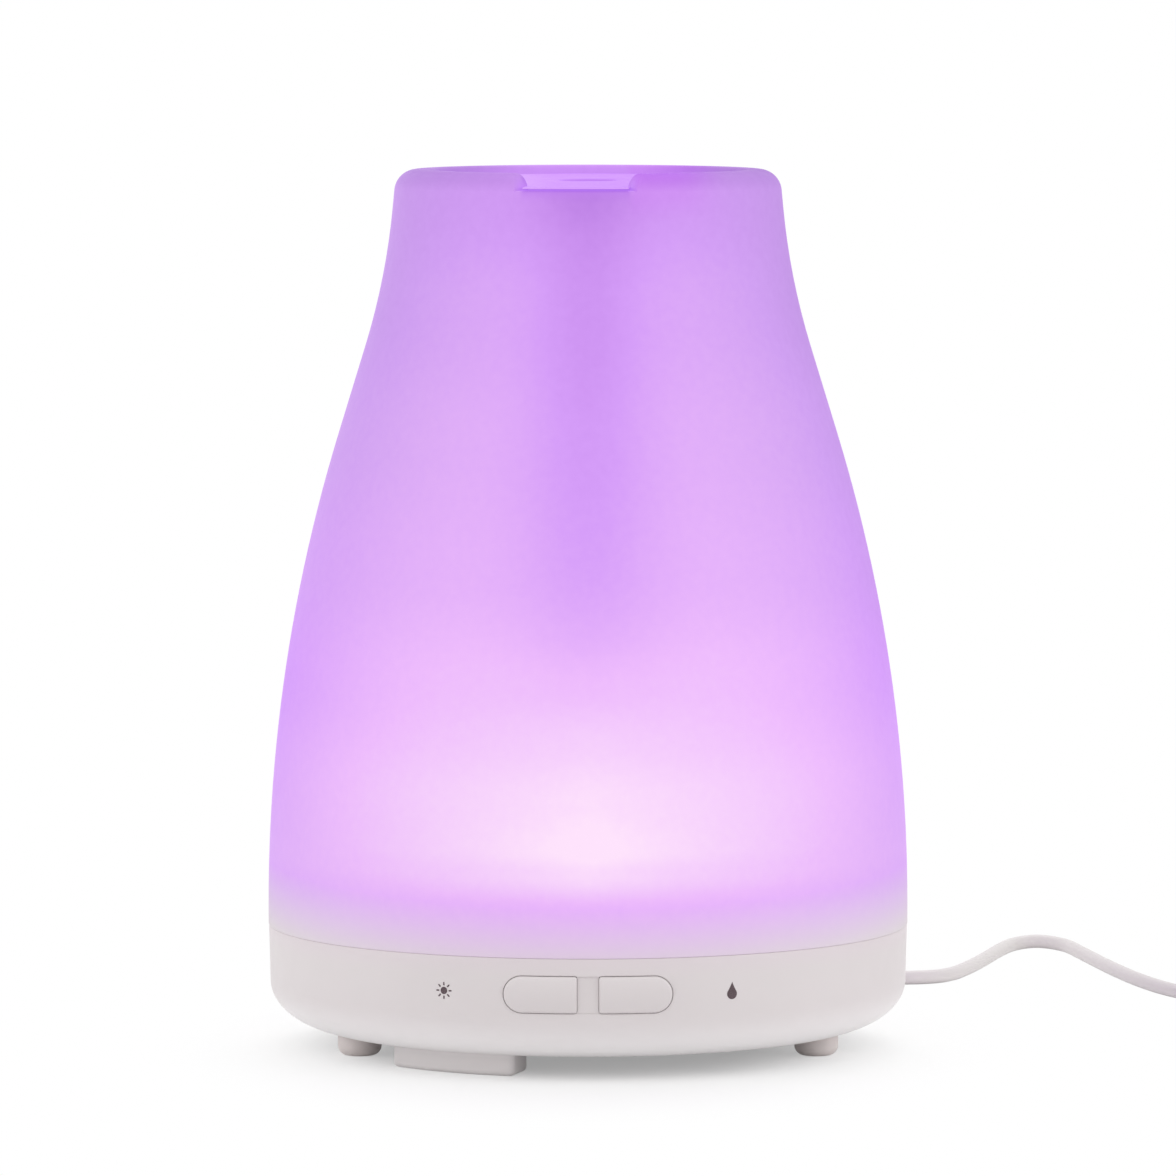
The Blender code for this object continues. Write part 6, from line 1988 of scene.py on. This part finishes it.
        low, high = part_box("disc_seal")
        reach, rim, lip = self.seal
        outer, groove = high.x, high.x - rim
        outline = [(outer, high.z), (outer, low.z), (reach, low.z), (reach, low.z + lip)]
        outline += [(groove, low.z + lip), (groove, high.z - lip), (reach, high.z - lip), (reach, high.z)]
        outline = soften(outline, {0: 0.00025, 1: 0.00025, 2: 0.00015, 7: 0.00015})
        gasket = turned_piece("disc_gasket", outline, Sides.DISC)
        settle(gasket, SEAL, "base", "seal_rubber", "disc_seal")
        for node in ("disc_clamp", "clamp_screw_1", "clamp_screw_2", "clamp_screw_3"):
            keep(node, STEEL, self.clamp_edge)

    def build(self) -> None:
        """Builds the collar, the tank and what hangs on it."""
        self.build_collar()
        self.build_tank()
        self.build_nozzle()
        self.build_disc()


@dataclass
class Works:
    """The fan, the lamps, the boards and what stands on them, which keep their CAD shapes."""

    edge: float = 0.00025
    fine_edge: float = 0.0002

    def build(self) -> None:
        """Dresses each piece."""
        edge, fine = self.edge, self.fine_edge
        kept = [("fan_frame", BLACK, edge), ("fan_rotor", BLACK), ("fan_duct", INNER_PLASTIC)]
        kept += [(board, BOARD) for board in ("led_board", "main_board", "switch_board")]
        kept += [(f"led_{i + 1}", LENS, fine) for i in range(6)]
        kept += [("heat_sink", SINK, FINE, 1), ("inductor", WIRE), ("capacitor", SLEEVE, fine)]
        kept += [("controller_chip", BLACK), ("dc_socket", BLACK, edge)]
        for switch in ("light_switch", "mist_switch"):
            kept += [(switch, BLACK, fine), (f"{switch}_stem", BLACK, fine)]
        for piece in kept:
            keep(*piece)


# Cover


@dataclass
class Cover:
    """The frosted cover: the shell with the notch in its rim, the sloping top insert and the mist guide."""

    radius: float = field(default_factory=lambda: radius_of("cover_shell"))
    bottom: float = field(default_factory=lambda: low_of("cover_shell").z - SEAM_CLOSING)
    top: float = field(default_factory=lambda: high_of("cover_shell").z)
    wall: float = 0.0020
    belly_start: float = 0.0220
    belly_arc: float = 0.2520
    slope: Flat = (17.1, 0.0142)  # lean in degrees and length
    neck: Flat = (0.1080, 5.3)  # radius of the hollow and the lean above it
    crest: float = 0.0035
    crest_flat: float = 0.00226
    turned: float = NOTCH_AZIMUTH
    notch_floor: float = 0.1345
    notch_half: float = 0.0083
    notch_round: float = 0.0019
    lip_round: float = 0.0004
    recess: Flat = (0.00205, 0.0013)  # depth at the front and at the back
    insert: float = 0.0020
    inner_edge: float = 0.0006
    shelf: Flat = (0.0030, 0.0016)  # width and thickness
    tongue: float = 0.0002
    tongue_play: float = 0.0002
    outlet: float = 0.0045
    guide: Spot = (0.0065, 0.0053, 0.0700)  # radius outside and inside, lower end
    socket: Flat = (0.0015, 0.0030)  # wall and length of the guide's socket
    key: Spot = (0.0468, 0.0034, 0.0052)  # face, width and height of the keys
    columns: int = 160

    def leaning(self) -> list[Spot]:
        """The wall up to the neck, as radius, height and lean of each point.

        Returns:
            The points, from the bottom up.
        """
        lean, neck = radians(self.slope[0]), radians(self.neck[1])
        centre = self.radius - self.belly_arc
        points = [(self.radius, self.belly_start - 0.0012, 0.0)]
        for i in range(25):
            t = lean * i / 24
            points.append((centre + self.belly_arc * cos(t), self.belly_start + self.belly_arc * sin(t), t))
        radius, height, _ = points[-1]
        for i in (1, 2):
            run = self.slope[1] * i / 2
            points.append((radius - run * sin(lean), height + run * cos(lean), lean))
        radius, height, _ = points[-1]
        hollow = (radius + self.neck[0] * cos(lean), height + self.neck[0] * sin(lean))
        for i in range(1, 9):
            t = lean + (neck - lean) * i / 8
            points.append((hollow[0] - self.neck[0] * cos(t), hollow[1] - self.neck[0] * sin(t), t))
        return points

    def recess_radius(self) -> float:
        """The radius of the recess in the top."""
        return self.crest_middle(self.top, self.crest)[0] - self.crest_flat

    def crest_middle(self, top: float, radius: float) -> Flat:
        """The middle of the round that ends the wall at a height.

        Args:
            top: Height of the wall's end.
            radius: Radius of the round.

        Returns:
            Radius and height of its middle.
        """
        neck = radians(self.neck[1])
        start_radius, start_height, _ = self.leaning()[-1]
        height = top - radius
        round_start = height + radius * sin(neck)
        reach = start_radius - (round_start - start_height) * tan(neck)
        return (reach - radius * cos(neck), height)

    def floor_height(self, forward: float) -> float:
        """The height of the sloping recess floor at a distance in front of the axis.

        Args:
            forward: The distance.

        Returns:
            The height.
        """
        radius = self.recess_radius()
        share = (forward + radius) / (2 * radius)
        return self.top - blend_between(self.recess[1], self.recess[0], share)

    def rim_height(self, across: float) -> float:
        """The height of the rim at a distance beside the middle of the notch.

        Args:
            across: The distance.

        Returns:
            The height.
        """
        if across <= self.notch_half:
            return self.notch_floor
        share = min(1.0, (across - self.notch_half) / self.notch_round)
        return self.notch_floor + (self.top - self.notch_floor) * sqrt(1 - (1 - share) ** 2)

    def column(self, azimuth: float) -> list[Flat]:
        """The closed section of the shell at an azimuth from the notch.

        Args:
            azimuth: Degrees from the middle of the notch.

        Returns:
            The points as (radius, height), from the lower edge up the outside and down the inside.
        """
        neck = self.neck[1]
        across = abs(self.crest_middle(self.top, self.crest)[0] * sin(radians(azimuth)))
        top = self.rim_height(across) if abs(azimuth) < 90 else self.top
        share = (top - self.notch_floor) / (self.top - self.notch_floor)
        rounding = blend_between(self.lip_round, self.crest, share**2)
        points = arc((self.radius - FINE, self.bottom + FINE), FINE, -90, 0, 3)
        points += [(x, z) for x, z, _ in self.leaning()]
        points += arc(self.crest_middle(top, rounding), rounding, neck, 90, 12)
        recess = self.recess_radius()
        shelf_top = self.floor_height(recess) - self.insert - GAP
        shelf_inner, under = recess - self.shelf[0], shelf_top - self.shelf[1]
        drop = min(self.inner_edge, (top - shelf_top) / 2)
        points += arc((recess + drop, top - drop), drop, 90, 180, 5)
        points += [(recess, shelf_top), (shelf_inner, shelf_top), (shelf_inner, under)]
        inside = [(x - self.wall * cos(t), z - self.wall * sin(t)) for x, z, t in self.leaning()]
        points.append((inside[-1][0] - tan(radians(neck)) * (under - inside[-1][1]), under))
        return points + inside[::-1] + [(inside[0][0], self.bottom)]

    def columns_at(self) -> list[float]:
        """The azimuths of the shell's columns from the notch, closer together at the notch's shoulders.

        Returns:
            The azimuths in degrees.
        """
        reach = self.crest_middle(self.top, self.crest)[0]
        start = degrees(asin(self.notch_half / reach))
        end = degrees(asin((self.notch_half + self.notch_round) / reach))
        half = [blend_between(0.0, start, i / 8) for i in range(8)] + [start - 0.01]
        half += [blend_between(start, end, 1 - cos(radians(90 * i / 10))) for i in range(11)]
        count = round((360 - 2 * end) / 360 * self.columns / 2)
        half += [blend_between(end, 180.0, i / count) for i in range(1, count + 1)]
        return self.all_round(half)

    def all_round(self, half: list[float]) -> list[float]:
        """The azimuths of a whole turn from those of the half from the notch to the rear."""
        return half + [-azimuth for azimuth in half[-2:0:-1]]

    def round_notch(self, name: str, azimuths: Iterable[float],
                    section: Callable[[float], list[Flat]]) -> Piece:
        """A piece that goes round the axis with a section that changes.

        Args:
            name: Name of the piece.
            azimuths: The azimuths of its sections from the notch.
            section: What gives the closed section at an azimuth from the notch, as (radius, height) points.

        Returns:
            The piece.
        """
        shape = Shape()
        rings = []
        for azimuth in azimuths:
            place = self.turned + azimuth
            rings.append(shape.ring([around(radius, place, height) for radius, height in section(azimuth)]))
        shape.skin([*rings, rings[0]])
        return shape.finished(name)

    def build_shell(self) -> None:
        """Builds the shell and its keys."""
        shell = self.round_notch("frosted_shell", self.columns_at(), self.column)
        keys = Shape()
        face, width, tall = self.key
        outline = box_outline(-width / 2, width / 2, -self.radius + self.wall / 2, -face)
        outline = soften(outline, {2: 0.0004, 3: 0.0004})
        for side in (-90, 90):
            keys.prism(outline, self.bottom + GAP, self.bottom + tall, turned_round(self.turned + side))
        carve(shell, [keys.finished("key_tool")], "UNION")
        settle(shell, FROSTED, "cover", "cover_plastic", "cover_shell")

    def insert_reach(self, azimuth: float) -> float:
        """How far the insert reaches at an azimuth from the notch: round, with a tongue in the notch.

        Args:
            azimuth: The azimuth.

        Returns:
            The radius of its edge.
        """
        disc = self.recess_radius() - GAP
        half = self.notch_half - self.tongue_play
        front = self.crest_middle(self.notch_floor + self.tongue, self.lip_round)[0] + self.lip_round * 0.9
        across = sin(radians(abs(azimuth)))
        if abs(azimuth) > 90:
            return disc
        side = half / across if across > 1e-6 else front
        return max(disc, min(front, side))

    def insert_columns(self) -> list[float]:
        """The azimuths of the insert's columns, closer together where the tongue's sides run.

        Returns:
            The azimuths in degrees.
        """
        disc = self.recess_radius() - GAP
        half = self.notch_half - self.tongue_play
        tip, root = degrees(asin(half / self.insert_reach(0.0))), degrees(asin(half / disc))
        whole = [tip * i / 8 for i in range(9)]
        whole += [blend_between(tip, root, i / 5) for i in range(1, 6)]
        whole += [blend_between(root, 180.0, i / 60) for i in range(1, 61)]
        return self.all_round(whole)

    def insert_section(self, azimuth: float) -> list[Flat]:
        """The closed section of the insert at an azimuth from the notch.

        Args:
            azimuth: Degrees from the middle of the notch.

        Returns:
            The points as (radius, height), from the outlet's lower edge over the floor and back below.
        """
        recess, front = self.recess_radius(), cos(radians(azimuth))
        disc, reach, edge = recess - GAP, self.insert_reach(azimuth), 0.00035
        low, tongue_low = self.floor_height(recess) - self.insert, self.floor_height(recess) - self.tongue
        sleeve_inner = self.guide[0] + GAP
        sleeve_outer, sleeve_low = sleeve_inner + self.socket[0], low - self.socket[1]

        def on_floor(radius: float, sink: float = 0.0) -> Flat:
            """The point of the floor at a radius on this column, or a little under it."""
            return (radius, self.floor_height(min(radius * front, recess)) - sink)

        start = self.outlet + 0.0006
        section = [(self.outlet, low), on_floor(self.outlet, 0.0004)]
        section += [(self.outlet + 0.0002, on_floor(self.outlet, FINE)[1]), (start, on_floor(self.outlet)[1])]
        section += [on_floor(blend_between(start, disc - MM, i / 6)) for i in range(1, 7)]
        section += [on_floor(reach - edge), (reach - 0.3 * edge, on_floor(reach, 0.1 * edge)[1])]
        section += [on_floor(reach, 0.5 * edge), (reach, tongue_low + FINE), (reach - FINE, tongue_low)]
        section += [(disc - 0.0002, tongue_low - 0.1 * FINE), (disc - 0.0002, low), (sleeve_outer, low)]
        return section + [(sleeve_outer, sleeve_low), (sleeve_inner, sleeve_low), (sleeve_inner, low)]

    def build_insert(self) -> None:
        """Builds the sloping floor of the recess with its outlet, tongue and socket for the guide."""
        floor = self.round_notch("recess_floor", self.insert_columns(), self.insert_section)
        settle(floor, RECESS, "cover", "cover_plastic", "top_insert")

    def build_guide(self) -> None:
        """Builds the tube that leads the mist to the outlet."""
        outer, inner, low = self.guide
        high = self.floor_height(self.recess_radius()) - self.insert - GAP
        outline = [(inner, low), (inner, high), (outer, high), (outer, low)]
        tube = turned_piece("guide_tube", soften(outline, {0: 0.0005, 3: 0.0005}), Sides.TUBE)
        settle(tube, FROSTED, "cover", "cover_plastic", "mist_guide")

    def build(self) -> None:
        """Builds the shell, the insert and the guide."""
        self.build_shell()
        self.build_insert()
        self.build_guide()


# Whole object


def main() -> None:
    """Builds the diffuser piece by piece."""
    logging.basicConfig(level=logging.INFO, format="%(name)s: %(message)s")
    Studio().build()
    PowerLead().build()
    housing = Housing()
    housing.build()
    Markings(housing).build()
    Buttons(housing).build()
    BottomCover(housing).build()
    Tank().build()
    Works().build()
    Cover().build()


if __name__ == "__main__":
    main()
